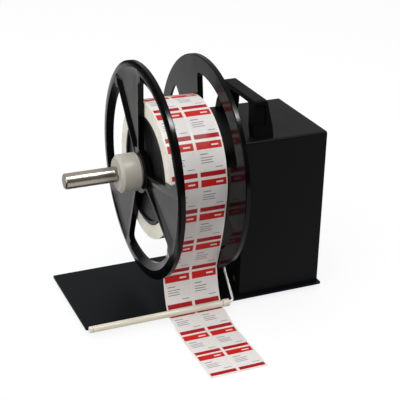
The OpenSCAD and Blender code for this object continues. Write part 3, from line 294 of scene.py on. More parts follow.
@dataclass(frozen=True)
class LabelPrint(Finish):
    """Coated label stock with its print, drawn on the label's own map.

    Across the label u runs from 0 to 1, and v from 0 at the tail end to 1 at the end nearer the
    roll. A later area covers an earlier one. The paper's fibre is a size in millimetres.
    """

    areas: tuple[PrintArea, ...] = ()
    fibre: float = 2.5
    fibre_strength: float = 0.5

    def within(self, tree: Tree, value: Socket, span: Pair) -> Socket:
        """Masks a stretch of the label.

        Args:
            tree: The material's node tree.
            value: The coordinate.
            span: Where the stretch starts and ends.

        Returns:
            A socket that is 1 inside the stretch and 0 outside.
        """
        middle, half = (span[0] + span[1]) / 2, (span[1] - span[0]) / 2
        return add_node(tree, "Math", {0: value, 1: middle, 2: half}, operation="COMPARE").outputs[0]

    def paint(self, tree: Tree) -> None:
        """Builds the shader.

        Args:
            tree: The material's node tree, with its default shader.
        """
        coords = add_node(tree, "TexCoord").outputs
        label = add_node(tree, "SeparateXYZ", {0: coords["UV"]}).outputs
        fibre = add_node(tree, "TexNoise", {"Vector": coords["Object"], "Scale": 1 / (self.fibre * MM)})
        colour = self.tone(tree, fibre.outputs[0])
        for area in self.areas:
            across = self.within(tree, label["X"], area.across)
            along = self.within(tree, label["Y"], area.along)
            mask = add_node(tree, "Math", {0: across, 1: along}, operation="MULTIPLY")
            layer = {SHARE: mask.outputs[0], COLOUR_A: colour, COLOUR_B: linear(area.tint)}
            colour = add_node(tree, "Mix", layer, data_type="RGBA").outputs[MIXED_COLOUR]
        relief = {"Height": fibre.outputs[0], "Distance": self.relief * MM, "Strength": self.fibre_strength}
        bump = add_node(tree, "Bump", relief)
        feed(tree, tree.nodes["Principled BSDF"], {
            "Base Color": colour, "Roughness": self.roughness, "Normal": bump.outputs[0],
            "IOR": self.ior, "Specular IOR Level": self.specular,
        })


# Grains too fine to show from the camera, such as the coat's pebbles, the mould's texture and the
# rings of lathe and grinder, are drawn as coarse as they need to show.

# Powder coat over folded sheet steel: matte black, with a fine pebbled skin that greys the light
POWDER_COAT = Finish(
    "black_powder_coat", "#0e0e0f", "#0a0a0b", 0.42, specular=0.07, grain=(1.4, 1.4, 1.4), relief=0.02
)
# The same coat on the rounded edges, smoother and a lighter grey: partly rubbed by handling, partly a
# painted highlight
POWDER_COAT_RUBBED_HIGHLIT_EDGE = Finish("rubbed_and_highlit_powder_coat", "#1d1d1e", "#131314", 0.36, specular=0.16, grain=(3, 3, 3))
# Satin stove enamel on the base sheet: bluish black and a little smoother than the cover
STOVE_ENAMEL = Finish("black_stove_enamel", "#0d1114", "#090c0f", 0.36, specular=0.05, grain=(2.2, 2.2, 2.2))
# Injection moulded ABS of the flanges: glossy black, with a slow waviness from the mould
GLOSS_ABS = Finish(
    "black_gloss_abs", "#070708", "#050506", 0.18, 0.04, specular=0.12, grain=(14, 14, 14), relief=0.02
)
# Spark textured polypropylene of the handle and knob: matte, with an even fine grain
GRAINED_PP = Finish(
    "black_grained_polypropylene", "#0b0b0c", "#080808", 0.38, 0.06, specular=0.035,
    grain=(1.5, 1.5, 1.5), relief=0.03,
)
# Satin moulded ABS of the drum: black, but pale where it faces the light at a low angle
SATIN_ABS = Finish("black_satin_abs", "#0d0d0e", "#0a0a0b", 0.5, 0.06, grain=(4, 4, 4))
# Turned nylon of the lock hub: off-white, waxy, with faint rings from the lathe
TURNED_NYLON = Finish(
    "ivory_turned_nylon", "#bfbaaf", "#b3ada2", 0.45, 0.06, grain=(0.8, 14, 14), relief=0.006
)
# Drawn acetal tube of the guide roller: yellower than the hub, with a soft shine
DRAWN_ACETAL = Finish("ivory_drawn_acetal", "#e3dccb", "#d8cfbc", 0.38, grain=(20, 1.5, 1.5), relief=0.004)
# Polished ground steel of the spindle: bright and dark bands along it, with fine rings across
POLISHED_STEEL = Finish(
    "polished_ground_steel", "#b5aea2", "#a59e93", 0.32, 0.03, metallic=1.0,
    grain=(0.5, 12, 12), relief=0.001,
)
# Bright drawn rod of the arm: long fine draw marks
DRAWN_STEEL = Finish(
    "bright_drawn_steel", "#d6d4cf", "#c6c3bd", 0.3, metallic=1.0, grain=(6, 1.2, 1.2), relief=0.001
)
# Zinc plated screws, pins and plates inside the housing: pale grey with a patchy passivated film
ZINC_PLATE = Finish(
    "zinc_plated_steel", "#b9bab8", "#9fa09e", 0.34, 0.08, metallic=1.0, grain=(2, 2, 2), relief=0.003
)
# Turned aluminium of the collar and bearing blocks: bright, with rings from the lathe
TURNED_ALUMINIUM = Finish(
    "turned_aluminium", "#c2c4c6", "#a9abad", 0.3, 0.06, metallic=1.0, grain=(0.4, 10, 10), relief=0.004
)
# Sintered bronze of the bush, also for the brass posts: warm and grainy
SINTERED_BRONZE = Finish(
    "sintered_bronze", "#b08d57", "#8f6f3f", 0.38, 0.08, metallic=1.0, grain=(0.8, 0.8, 0.8)
)
# Black rubber of the feet and the stop: dull, with a bloomed grey skin
RUBBER = Finish(
    "black_rubber", "#161616", "#0f0f0f", 0.75, 0.08, specular=0.3, grain=(1.5, 1.5, 1.5), relief=0.02
)
# Acetal of the gear: opaque white with a slight yellow cast
ACETAL = Finish("natural_acetal", "#ddd8ca", "#cfc9b8", 0.4, grain=(3, 3, 3), relief=0.004)
# Enamel on the motor's steel case: grey, with a faint metal sheen
MOTOR_ENAMEL = Finish(
    "grey_motor_enamel", "#5c6066", "#4a4d52", 0.4, 0.06, metallic=0.3, grain=(1.5, 1.5, 1.5)
)
# Solder resist over a glass board: green, with the weave just showing
SOLDER_RESIST = Finish("green_solder_resist", "#2e5b3a", "#234a2e", 0.35, 0.08, grain=(1.1, 1.1, 4))
# Gloss nylon of the switches, black and red: smooth, with a slight waviness
SWITCH_BLACK = Finish(
    "black_gloss_nylon", "#101010", "#0b0b0b", 0.28, 0.04, specular=0.35, grain=(5, 5, 5)
)
SWITCH_RED = Finish("red_gloss_nylon", "#a3201c", "#8c1815", 0.28, 0.04, grain=(5, 5, 5))
# Glassine liner that carries the labels: smooth pale cream
LINER = Finish("glassine_liner", "#ece8e1", "#e3ded5", 0.4, grain=(3, 3, 3), relief=0.004)
# Edges of the wound web, seen from the side of the roll: cream, with fine rings
ROLL_EDGE = WoundEdge("wound_paper_edge", "#faf7ec", "#e6dfcc", 0.8, relief=0.05)
# Coated label stock: white, with a soft sheen, two red bands, grey bars and a bare bar in the wide band
LABEL_WHITE, BAND_RED, FOOT_RED, GREY_INK = "#e9e5e3", "#cb1b18", "#ab161c", "#8f8a8a"
PRINTED_LABEL = LabelPrint(
    "printed_label_stock", LABEL_WHITE, "#e0dbd8", 0.45, specular=0.2, relief=0.004,
    areas=(
        PrintArea(BAND_RED, (0.02, 0.98), (0.775, 0.99)),
        PrintArea(FOOT_RED, (0.02, 0.98), (0.01, 0.145)),
        PrintArea(GREY_INK, (0.10, 0.40), (0.625, 0.655)),
        PrintArea(GREY_INK, (0.10, 0.58), (0.528, 0.552)),
        PrintArea(GREY_INK, (0.10, 0.52), (0.458, 0.482)),
        PrintArea(GREY_INK, (0.10, 0.56), (0.388, 0.412)),
        PrintArea(GREY_INK, (0.62, 0.90), (0.238, 0.262)),
        PrintArea(LABEL_WHITE, (0.60, 0.86), (0.8575, 0.9025)),
    ),
)


def add_object(name: str, data: bpy.types.ID) -> bpy.types.Object:
    """Adds an object to the scene.

    Args:
        name: The object's name.
        data: Its mesh, lamp or camera.

    Returns:
        The new object.
    """
    obj = bpy.data.objects.new(name, data)
    bpy.context.scene.collection.objects.link(obj)
    return obj


def add_face(
    mesh: bmesh.types.BMesh, corners: Iterable[bmesh.types.BMVert], material: int = 0
) -> bmesh.types.BMFace:
    """Adds a smooth face to a mesh.

    Args:
        mesh: The mesh in the making.
        corners: The face's points in order.
        material: Index of its finish.

    Returns:
        The new face.
    """
    face = mesh.faces.new(tuple(corners))
    face.material_index = material
    face.smooth = True
    return face


def pick(obj: bpy.types.Object) -> None:
    """Makes an object the only selected and active one.

    Args:
        obj: The object to work on.
    """
    bpy.ops.object.select_all(action="DESELECT")
    obj.select_set(True)
    bpy.context.view_layer.objects.active = obj


@contextmanager
def editing(obj: bpy.types.Object) -> Iterator[None]:
    """Keeps an object in edit mode, all selected, for the length of a block.

    Args:
        obj: The mesh object to edit.

    Yields:
        Nothing, once the object is in edit mode.
    """
    pick(obj)
    bpy.ops.object.mode_set(mode="EDIT")
    bpy.ops.mesh.select_all(action="SELECT")
    yield
    bpy.ops.object.mode_set(mode="OBJECT")


def settle(obj: bpy.types.Object, body: Body, replaced: str) -> None:
    """Fixes a finished piece to its body.

    Args:
        obj: The piece, in place.
        body: The body that it rides on.
        replaced: The CAD node that it stands for.
    """
    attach(obj, body.value)
    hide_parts(replaced)
    LOG.info("piece %s rides on %s", obj.name, body.value)


@dataclass
class SubAssembly:
    """A group of CAD nodes with what is modelled around them."""

    nodes: dict[str, bpy.types.Object]

    def coat(self, finish: Finish, *names: str) -> None:
        """Gives CAD nodes a finish.

        Args:
            finish: The finish.
            names: The nodes' names.
        """
        for name in names:
            for slot in self.nodes[name].material_slots:
                slot.material = finish.material()
            LOG.info("node %s is %s", name, finish.name)

    def soften(
        self, node: str, finish: Finish, body: Body, slot: str, edge: float,
        segments: int = 2, sharp: float = 30.0, rubbed_and_highlit: Finish | None = None,
    ) -> None:
        """Models a node's shape with its edges rounded as moulding, paint or turning leaves them.

        Args:
            node: The CAD node that the piece stands for.
            finish: The piece's finish.
            body: The body that it rides on.
            slot: The record's material slot; not used.
            edge: Width of the rounded edges in millimetres.
            segments: Faces across a rounded edge.
            sharp: Angle in degrees above which an edge is rounded.
            rubbed_and_highlit: Finish of the rounded edges where it differs, partly rubbed wear and partly a
                painted highlight.
        """
        piece = add_object(node + "_finished", self.nodes[node].data.copy())
        with editing(piece):
            bpy.ops.mesh.remove_doubles(threshold=MERGE_BELOW * MM)
            bpy.ops.mesh.dissolve_limited(angle_limit=math.radians(FLAT_WITHIN))
        bevel = piece.modifiers.new("rounded_edges", "BEVEL")
        bevel.width = edge * MM
        bevel.segments = segments
        bevel.limit_method = "ANGLE"
        bevel.angle_limit = math.radians(sharp)
        bevel.use_clamp_overlap = True
        piece.data.materials.clear()
        piece.data.materials.append(finish.material())
        # The rounded edges can take a lighter finish: a painted highlight along them, with some rubbed wear
        if rubbed_and_highlit:
            piece.data.materials.append(rubbed_and_highlit.material())
            bevel.material = 1
        bpy.ops.object.modifier_apply(modifier=bevel.name)
        bpy.ops.object.shade_smooth_by_angle(angle=math.radians(SMOOTH_BELOW))
        flat = piece.modifiers.new("flat_faces", "WEIGHTED_NORMAL")
        flat.keep_sharp = True
        bpy.ops.object.modifier_apply(modifier=flat.name)
        settle(piece, body, node)


@dataclass
class BaseAndFeet(SubAssembly):
    """The base plate on its rubber feet."""

    plate_edge: float = 0.3
    foot_edge: float = 0.6

    def build(self) -> None:
        """Models and dresses the base."""
        self.soften("base_plate", STOVE_ENAMEL, Body.CHASSIS, "black_plate", self.plate_edge)
        self.soften("rubber_feet", RUBBER, Body.CHASSIS, "foot_rubber", self.foot_edge)
        self.coat(ZINC_PLATE, "base_screws")


@dataclass
class Housing(SubAssembly):
    """The folded cover with its plates, handle and screws."""

    fold_edge: float = 0.25
    handle_edge: float = 0.7
    handle_segments: int = 3
    handle_sharp: float = 40.0

    def build(self) -> None:
        """Models and dresses the housing."""
        for plate in ("housing_cover", "side_plate", "end_plate"):
            self.soften(
                plate, POWDER_COAT, Body.CHASSIS, "black_sheet", self.fold_edge, rubbed_and_highlit=POWDER_COAT_RUBBED_HIGHLIT_EDGE
            )
        self.soften(
            "carry_handle", GRAINED_PP, Body.CHASSIS, "black_moulding", self.handle_edge,
            self.handle_segments, self.handle_sharp,
        )
        self.coat(ZINC_PLATE, "end_plate_screws", "handle_screws", "rear_bearing_plate", "tie_bars")


@dataclass
class Drive(SubAssembly):
    """Bearings, gears, motor and board inside the housing."""

    def build(self) -> None:
        """Dresses the drive."""
        self.coat(TURNED_ALUMINIUM, "bearing_housings", "spindle_spacers")
        self.coat(POLISHED_STEEL, "bearing_outer_rings", "bearing_inner_rings", "bearing_balls")
        self.coat(POLISHED_STEEL, "spindle_circlip")
        self.coat(ZINC_PLATE, "bearing_screws", "motor_screws", "motor_pinion")
        self.coat(ACETAL, "drive_gear")
        self.coat(MOTOR_ENAMEL, "gear_motor")
        self.coat(SOLDER_RESIST, "circuit_board")
        self.coat(SINTERED_BRONZE, "board_standoffs")


@dataclass
class Controls(SubAssembly):
    """Switches, knob and power inlet on the back wall."""

    edge: float = 0.25

    def build(self) -> None:
        """Models and dresses the controls."""
        for body in ("power_switch_body", "direction_switch_body", "dc_inlet"):
            self.soften(body, SWITCH_BLACK, Body.CHASSIS, "black_gloss", self.edge)
        self.soften("power_rocker", SWITCH_RED, Body.POWER_PADDLE, "rocker_red", self.edge)
        self.soften("direction_rocker", SWITCH_BLACK, Body.DIRECTION_PADDLE, "black_gloss", self.edge)
        self.coat(TURNED_ALUMINIUM, "speed_potentiometer")
        self.coat(POLISHED_STEEL, "knob_shaft")
        self.soften("speed_knob", GRAINED_PP, Body.KNOB, "black_moulding", self.edge)


@dataclass
class Spindle(SubAssembly):
    """The spindle with its flanges, lock hub and drum."""

    flange_edge: float = 0.7
    flange_sharp: float = 25.0
    hub_edge: float = 0.5
    shaft_edge: float = 0.3
    fine: int = 3

    def build(self) -> None:
        """Models and dresses the spindle."""
        fine, edge = self.fine, self.flange_edge
        self.soften("spindle_shaft", POLISHED_STEEL, Body.SPINDLE, "polished_steel", self.shaft_edge, fine)
        self.soften("flange_collar", TURNED_ALUMINIUM, Body.SPINDLE, "cast_aluminium", self.hub_edge)
        for flange, body in (("inner_flange", Body.SPINDLE), ("outer_flange", Body.SLIDING_FLANGE)):
            self.soften(flange, GLOSS_ABS, body, "flange_gloss", edge, fine, self.flange_sharp)
        self.soften("lock_hub", TURNED_NYLON, Body.SLIDING_FLANGE, "ivory_nylon", self.hub_edge, fine)
        self.coat(ZINC_PLATE, "lock_screw")
        self.soften("core_drum", SATIN_ABS, Body.SPINDLE, "black_moulding", self.hub_edge)


@dataclass
class TensionArm(SubAssembly):
    """The bent rod, its pivot and the guide roller."""

    edge: float = 0.2

    def build(self) -> None:
        """Models and dresses the tension arm."""
        self.soften("tension_arm", DRAWN_STEEL, Body.ARM, "bright_rod", self.edge)
        self.coat(ZINC_PLATE, "arm_pivot_pin", "sensor_flag")
        self.coat(SINTERED_BRONZE, "arm_pivot_bush")
        self.coat(RUBBER, "arm_stop_pin")
        self.coat(SWITCH_BLACK, "arm_sensor")
        self.soften("guide_roller", DRAWN_ACETAL, Body.ROLLER, "ivory_nylon", self.edge)
        for end in ("roller_collar", "roller_cap"):
            self.soften(end, DRAWN_ACETAL, Body.ARM, "ivory_nylon", self.edge)


@dataclass
class LabelStock:
    """Layout of the labels on their liner, and the place of its left edge, in millimetres."""

    width: float = 59.0
    pitch: float = 37.3
    gap: float = 1.8
    margin: float = 1.0
    column_gap: float = 1.9
    label_thick: float = 0.1
    left: float = 84.7

    def columns(self) -> list[Pair]:
        """Returns the two label columns as distances from the web's left edge."""
        left, right = self.margin, self.width - self.margin
        wide = (right - left - self.column_gap) / 2
        return [(left, left + wide), (right - wide, right)]

    def rails(self) -> list[float]:
        """Returns the places across the web where the surface is divided."""
        return [0.0] + [x for column in self.columns() for x in column] + [self.width]


def toward(degrees: float) -> Vector:
    """Returns the direction in y and z at an angle from the back, in degrees."""
    return Vector((math.cos(math.radians(degrees)), math.sin(math.radians(degrees))))


def arc(centre: Vector, radius: float, start: float, end: float, count: int) -> list[Vector]:
    """Draws an arc in y and z.

    Args:
        centre: Its centre.
        radius: Its radius.
        start: First angle in degrees.
        end: Last angle.
        count: Number of steps.

    Returns:
        Its points.
    """
    return [centre + radius * toward(start + (end - start) * i / count) for i in range(count + 1)]


def curve(points: list[Vector], count: int) -> list[Vector]:
    """Draws a Bezier curve.

    Args:
        points: The curve's control points.
        count: Number of steps.

    Returns:
        Its points without the first.
    """
    found = []
    for i in range(1, count + 1):
        level = points
        while len(level) > 1:
            level = [a.lerp(b, i / count) for a, b in zip(level, level[1:])]
        found.append(level[0])
    return found


@dataclass
class LabelWeb(SubAssembly):
    """The slack web: off the roll, under the guide roller and out over the table to its cut end.

    Angles are in degrees about the spindle or the roller, and places in y and z. The web leaves
    the roll after its lap, hangs slack down to a crease and leads in to its wrap under the roller,
    and its tail comes down to the table. The front and back are distances from its middle line.
    """

    stock: LabelStock = field(default_factory=LabelStock)
    turn_radius: float = 71.325
    leave: float = 186.0
    lap: float = 16.0
    lap_steps: int = 24
    slack: float = 45.0
    slack_steps: int = 60
    crease: Pair = (9.2, 39.6)
    fold: float = 4.0
    fold_steps: int = 12
    lead: float = 16.0
    lead_steps: int = 40
    roller: Pair = (-7.5, 3.0)
    wrap_radius: float = 3.825
    wrap_start: float = -35.0
    wrap_end: float = -86.0
    wrap_steps: int = 12
    tail_out: float = 18.0
    tail_in: float = 20.0
    tail_steps: int = 40
    touch_down: float = 44.0
    tail_height: float = -7.025
    tail_end: float = -113.5
    first_gap: float = 1.0
    front: float = 0.04
    back: float = 0.14
    step: float = 1.6
    least_step: float = 0.01
    smooth_below: float = 40.0

    def route(self) -> list[Vector]:
        """Returns the web's middle line in y and z, from the roll to its cut end."""
        axis, roller, crease = Vector((SPINDLE_Y, SPINDLE_Z)), Vector(self.roller), Vector(self.crease)
        quarter = 90.0
        leave = axis + self.turn_radius * toward(self.leave)
        slack = leave + self.slack * toward(self.leave + quarter)
        wrap = roller + self.wrap_radius * toward(self.wrap_start)
        lead = wrap + self.lead * toward(self.wrap_start + quarter)
        off = roller + self.wrap_radius * toward(self.wrap_end)
        out = off + self.tail_out * toward(self.wrap_end - quarter)
        touch = Vector((off.x - self.touch_down, self.tail_height))
        fold_in = crease + self.fold * (slack - crease).normalized()
        fold_out = crease + self.fold * (lead - crease).normalized()
        points = arc(axis, self.turn_radius, self.leave - self.lap, self.leave, self.lap_steps)
        points += curve([leave, slack, fold_in], self.slack_steps)
        points += curve([fold_in, crease, fold_out], self.fold_steps)
        points += curve([fold_out, lead, wrap], self.lead_steps)
        points += arc(roller, self.wrap_radius, self.wrap_start, self.wrap_end, self.wrap_steps)[1:]
        points += curve([off, out, touch + Vector((self.tail_in, 0)), touch], self.tail_steps)
        return points + [Vector((self.tail_end, self.tail_height))]

    def stations(self, length: float) -> list[tuple[float, bool]]:
        """Divides the web's length at its labels.

        Args:
            length: The length of the route.

        Returns:
            Distances from the tail end, each with whether a label starts or goes on there.
        """
        found: list[tuple[float, bool]] = []
        half_gap, pitch = self.stock.gap / 2, self.stock.pitch
        start = self.first_gap - pitch
        while start < length:
            for low, high, is_label in (
                (start, start + half_gap, False),
                (start + half_gap, start + pitch - half_gap, True),
                (start + pitch - half_gap, start + pitch, False),
            ):
                count = max(1, round((high - low) / self.step))
                found += [(low + (high - low) * i / count, is_label) for i in range(count)]
            start += pitch
        first = [s for s in found if s[0] <= 0][-1]
        inner = [s for s in found if self.least_step < s[0] < length - self.least_step]
        return [(0.0, first[1])] + inner + [(length, False)]

    def rows(
        self, mesh: bmesh.types.BMesh, line: list[Vector], reach: list[float], distances: list[float]
    ) -> tuple[Rows, Rows, Rows]:
        """Adds the web's points, row by row across it.

        Args:
            mesh: The mesh in the making.
            line: The web's middle line, from the tail end.
            reach: Each of its points' distance from the tail end.
            distances: Where the rows go.

        Returns:
            The rows behind the liner, on its front and on its labels.
        """
        offsets = (self.back, -self.front, -self.front - self.stock.label_thick)
        found: tuple[Rows, Rows, Rows] = ([], [], [])
        place = 0
        for distance in distances:
            while place < len(reach) - 2 and reach[place + 1] < distance:
                place += 1
            share = (distance - reach[place]) / (reach[place + 1] - reach[place])
            spot = line[place].lerp(line[place + 1], share)
            ahead = (line[place + 1] - line[place]).normalized()
            normal = Vector((ahead.y, -ahead.x))
            for rows, offset in zip(found, offsets):
                lifted = spot + normal * offset
                points = [at(self.stock.left + x, lifted.x, lifted.y) for x in self.stock.rails()]
                rows.append([mesh.verts.new(point) for point in points])
        return found

    def skin(
        self, mesh: bmesh.types.BMesh, rows: tuple[Rows, Rows, Rows], stations: list[tuple[float, bool]]
    ) -> None:
        """Closes the sheet over its points and maps the print on its labels.

        Args:
            mesh: The mesh in the making.
            rows: The rows behind the liner, on its front and on its labels.
            stations: Distances along the web, each with whether a label starts or goes on there.
        """
        uv = mesh.loops.layers.uv["label"]
        back, low, high = rows
        last, wide = len(stations) - 1, len(low[0]) - 1
        label_length = self.stock.pitch - self.stock.gap

        def is_label(i: int, j: int) -> bool:
            """Returns whether the face at that station and rail is a label's."""
            return 0 <= i < last and 0 <= j < wide and stations[i][1] and j % 2 == 1

        start = 0.0
        for i in range(last):
            if stations[i][1] and not stations[i - 1][1]:
                start = stations[i][0]
            for j in range(wide):
                top = high if is_label(i, j) else low
                add_face(mesh, (back[i][j], back[i + 1][j], back[i + 1][j + 1], back[i][j + 1]))
                corners = (top[i][j], top[i][j + 1], top[i + 1][j + 1], top[i + 1][j])
                face = add_face(mesh, corners, int(is_label(i, j)))
                if not is_label(i, j):
                    continue
                for loop, (di, dj) in zip(face.loops, ((0, 0), (0, 1), (1, 1), (1, 0))):
                    loop[uv].uv = (float(dj), (stations[i + di][0] - start) / label_length)
                if not is_label(i, j - 1):
                    add_face(mesh, (low[i][j], high[i][j], high[i + 1][j], low[i + 1][j]))
                if not is_label(i, j + 1):
                    add_face(mesh, (low[i][j + 1], low[i + 1][j + 1], high[i + 1][j + 1], high[i][j + 1]))
                if not is_label(i - 1, j):
                    add_face(mesh, (low[i][j], low[i][j + 1], high[i][j + 1], high[i][j]))
                if not is_label(i + 1, j):
                    add_face(mesh, (low[i + 1][j], high[i + 1][j], high[i + 1][j + 1], low[i + 1][j + 1]))
            for j in (0, wide):
                add_face(mesh, (back[i][j], low[i][j], low[i + 1][j], back[i + 1][j]))
        for i in (0, last):
            for j in range(wide):
                add_face(mesh, (back[i][j], low[i][j], low[i][j + 1], back[i][j + 1]))

    def build(self) -> None:
        """Models the web as one closed sheet with its labels standing proud of the liner."""
        line = list(reversed(self.route()))
        reach = [0.0]
        for a, b in zip(line, line[1:]):
            reach.append(reach[-1] + (b - a).length)
        length = reach[-1]
        stations = self.stations(length)
        mesh = bmesh.new()
        mesh.loops.layers.uv.new("label")
        self.skin(mesh, self.rows(mesh, line, reach, [distance for distance, _ in stations]), stations)
        loose = [v for v in mesh.verts if not v.link_faces]
        bmesh.ops.delete(mesh, geom=loose, context="VERTS")
        bmesh.ops.recalc_face_normals(mesh, faces=mesh.faces)
        data = bpy.data.meshes.new("label_web_sheet")
        mesh.to_mesh(data)
        mesh.free()
        piece = add_object("label_web_sheet", data)
        for finish in (LINER, PRINTED_LABEL):
            data.materials.append(finish.material())
        pick(piece)
        bpy.ops.object.shade_smooth_by_angle(angle=math.radians(self.smooth_below))
        settle(piece, Body.CHASSIS, "label_web")
        LOG.info("web is %.1f mm long", length)


@dataclass
class LabelRoll(SubAssembly):
    """The wound labels between the flanges.

    Labels and their gaps are counted in whole degrees about the spindle. The sides are rings of
    paper that stand proud or back in a slow wave, and the skin is the depth of the outer surface.
    """

    stock: LabelStock = field(default_factory=LabelStock)
    radius: float = 70.8
    core: float = 56.55
    core_reach: float = 0.3
    skin: float = 0.35
    per_turn: int = 12
    divisions: int = 360
    gap_degrees: int = 2
    first_gap: int = 170
    rings: int = 16
    proud: float = 0.14
    wave: float = 2.4
    smooth_below: float = 30.0

    def build(self) -> None:
        """Models the roll from a tube: labels raised on it, its sides stepped by the paper's layers."""
        bpy.ops.object.select_all(action="DESELECT")
        middle = at(self.stock.left + self.stock.width / 2, SPINDLE_Y, SPINDLE_Z)
        bpy.ops.mesh.primitive_cylinder_add(
            vertices=self.divisions, radius=(self.radius - self.stock.label_thick) * MM,
            depth=self.stock.width * MM, end_fill_type="NOTHING", location=middle,
            rotation=(0, math.pi / 2, 0),
        )
        piece = bpy.context.object
        piece.name = piece.data.name = "label_roll_wound"
        bpy.ops.object.transform_apply(location=True, rotation=True, scale=True)
        with editing(piece):
            for cut in self.stock.rails()[1:-1]:
                bpy.ops.mesh.select_all(action="SELECT")
                bpy.ops.mesh.bisect(plane_co=at(self.stock.left + cut, 0, 0), plane_no=(1, 0, 0))
            for side in (-1, 1):
                self.step_side(piece, middle, side)
            self.close_core(piece)
            self.raise_labels(piece)
        self.paint(piece)
        pick(piece)
        bpy.ops.object.shade_smooth_by_angle(angle=math.radians(self.smooth_below))
        settle(piece, Body.SPINDLE, "label_roll")

    def polar(self, point: Vector) -> Pair:
        """Places a point about the spindle.

        Args:
            point: The point in metres.

        Returns:
            Its distance from the axis in millimetres and its angle in degrees.
        """
        axis = at(0, SPINDLE_Y, SPINDLE_Z)
        back, up = point.y - axis.y, point.z - axis.z
        return math.hypot(back, up) / MM, math.degrees(math.atan2(up, back))

    def select(self, piece: bpy.types.Object, kind: Element, wanted: Callable[[Any], bool]) -> None:
        """Selects part of the mesh by place.

        Args:
            piece: The roll, in edit mode.
            kind: Which elements are tested.
            wanted: A test that takes one element.
        """
        bpy.ops.mesh.select_all(action="DESELECT")
        mesh = bmesh.from_edit_mesh(piece.data)
        for item in getattr(mesh, kind.value):
            if wanted(item):
                item.select_set(True)
        mesh.select_flush_mode()
        bmesh.update_edit_mesh(piece.data)

    def step_side(self, piece: bpy.types.Object, middle: Vector, side: int) -> None:
        """Draws one end of the tube in to the core, ring by ring.

        Args:
            piece: The roll, in edit mode.
            middle: Its centre.
            side: -1 for the left side, 1 for the right.
        """
        end = middle.x + side * self.stock.width / 2 * MM
        bpy.ops.mesh.select_mode(type="EDGE")
        self.select(
            piece, Element.EDGES,
            lambda e: e.is_boundary and all(abs(v.co.x - end) < ON_PLANE for v in e.verts),
        )
        radius, shift = self.radius - self.stock.label_thick, 0.0
        centre = Vector((end, middle.y, middle.z))
        for ring in range(1, self.rings + 1):
            inner = self.radius + (self.core - self.radius) * ring / self.rings
            out = self.proud * math.sin(ring * self.wave + side) * (ring < self.rings)
            move = (side * (out - shift) * MM, 0, 0)
            bpy.ops.mesh.extrude_edges_move(TRANSFORM_OT_translate={"value": move})
            bpy.ops.transform.resize(value=(1, inner / radius, inner / radius), center_override=centre)
            radius, shift = inner, out

    def close_core(self, piece: bpy.types.Object) -> None:
        """Joins the two inner rims.

        Args:
            piece: The roll, in edit mode.
        """
        limit = self.core + self.core_reach
        self.select(
            piece, Element.EDGES,
            lambda e: e.is_boundary and all(self.polar(v.co)[0] < limit for v in e.verts),
        )
        bpy.ops.mesh.bridge_edge_loops()
        bpy.ops.mesh.select_all(action="SELECT")
        bpy.ops.mesh.normals_make_consistent(inside=False)

    def is_outer(self, face: bmesh.types.BMFace) -> bool:
        """Returns whether a face is part of the roll's outer surface."""
        far = self.polar(face.calc_center_median())[0]
        return far > self.radius - self.skin and abs(face.normal.x) < SIDEWAYS

    def label_at(self, face: bmesh.types.BMFace) -> tuple[int, float] | None:
        """Finds the label that a face of the outer surface belongs to.

        Args:
            face: A face of the roll.

        Returns:
            The label's column and the face's angle past the label's tail end in degrees, or None.
        """
        spot = face.calc_center_median()
        past = (self.first_gap - self.polar(spot)[1] % 360) % (360 / self.per_turn)
        if not self.is_outer(face) or past < self.gap_degrees:
            return None
        across = spot.x / MM - SHIFT[0] - self.stock.left
        for number, (low, high) in enumerate(self.stock.columns()):
            if low < across < high:
                return number, past
        return None

    def raise_labels(self, piece: bpy.types.Object) -> None:
        """Lifts the labels off the liner.

        Args:
            piece: The roll, in edit mode.
        """
        bpy.ops.mesh.select_mode(type="FACE")
        self.select(piece, Element.FACES, lambda f: self.label_at(f) is not None)
        bpy.ops.mesh.extrude_region_shrink_fatten(
            TRANSFORM_OT_shrink_fatten={"value": self.stock.label_thick * MM, "use_even_offset": True}
        )

    def paint(self, piece: bpy.types.Object) -> None:
        """Sets the finishes and lays the label print out on the outer surface.

        Args:
            piece: The roll, in object mode.
        """
        data = piece.data
        finishes = (ROLL_EDGE, LINER, PRINTED_LABEL)
        for finish in finishes:
            data.materials.append(finish.material())
        for layer in list(data.uv_layers):
            data.uv_layers.remove(layer)
        mesh = bmesh.new()
        mesh.from_mesh(data)
        uv = mesh.loops.layers.uv.new("label")
        columns = self.stock.columns()
        span = 360 / self.per_turn - self.gap_degrees
        for face in mesh.faces:
            far, middle_angle = self.polar(face.calc_center_median())
            face.material_index = finishes.index(LINER if self.is_outer(face) else ROLL_EDGE)
            found = self.label_at(face)
            if found is None or far < self.radius - self.stock.label_thick / 2:
                continue
            face.material_index = finishes.index(PRINTED_LABEL)
            low, high = columns[found[0]]
            for loop in face.loops:
                turn = (self.polar(loop.vert.co)[1] - middle_angle + 180) % 360 - 180
                across = loop.vert.co.x / MM - SHIFT[0] - self.stock.left
                loop[uv].uv = ((across - low) / (high - low), (found[1] - turn - self.gap_degrees) / span)
        mesh.to_mesh(data)
        mesh.free()


@dataclass(frozen=True)
class Softbox:
    """A rectangular lamp, in metres and watts, that may leave out matt or glossy surfaces."""

    name: str
    spot: Triple
    target: Triple
    size: Pair
    power: float
    diffuse: bool = True
    glossy: bool = True

    def build(self) -> None:
        """Adds the lamp to the scene."""
        data = bpy.data.lights.new(self.name, "AREA")
        data.shape = "RECTANGLE"
        data.size, data.size_y = self.size
        data.energy = self.power
        lamp = add_object(self.name, data)
        lamp.location = self.spot
        lamp.visible_diffuse, lamp.visible_glossy = self.diffuse, self.glossy
        lamp.rotation_euler = (Vector(self.target) - Vector(self.spot)).to_track_quat("-Z", "Y").to_euler()


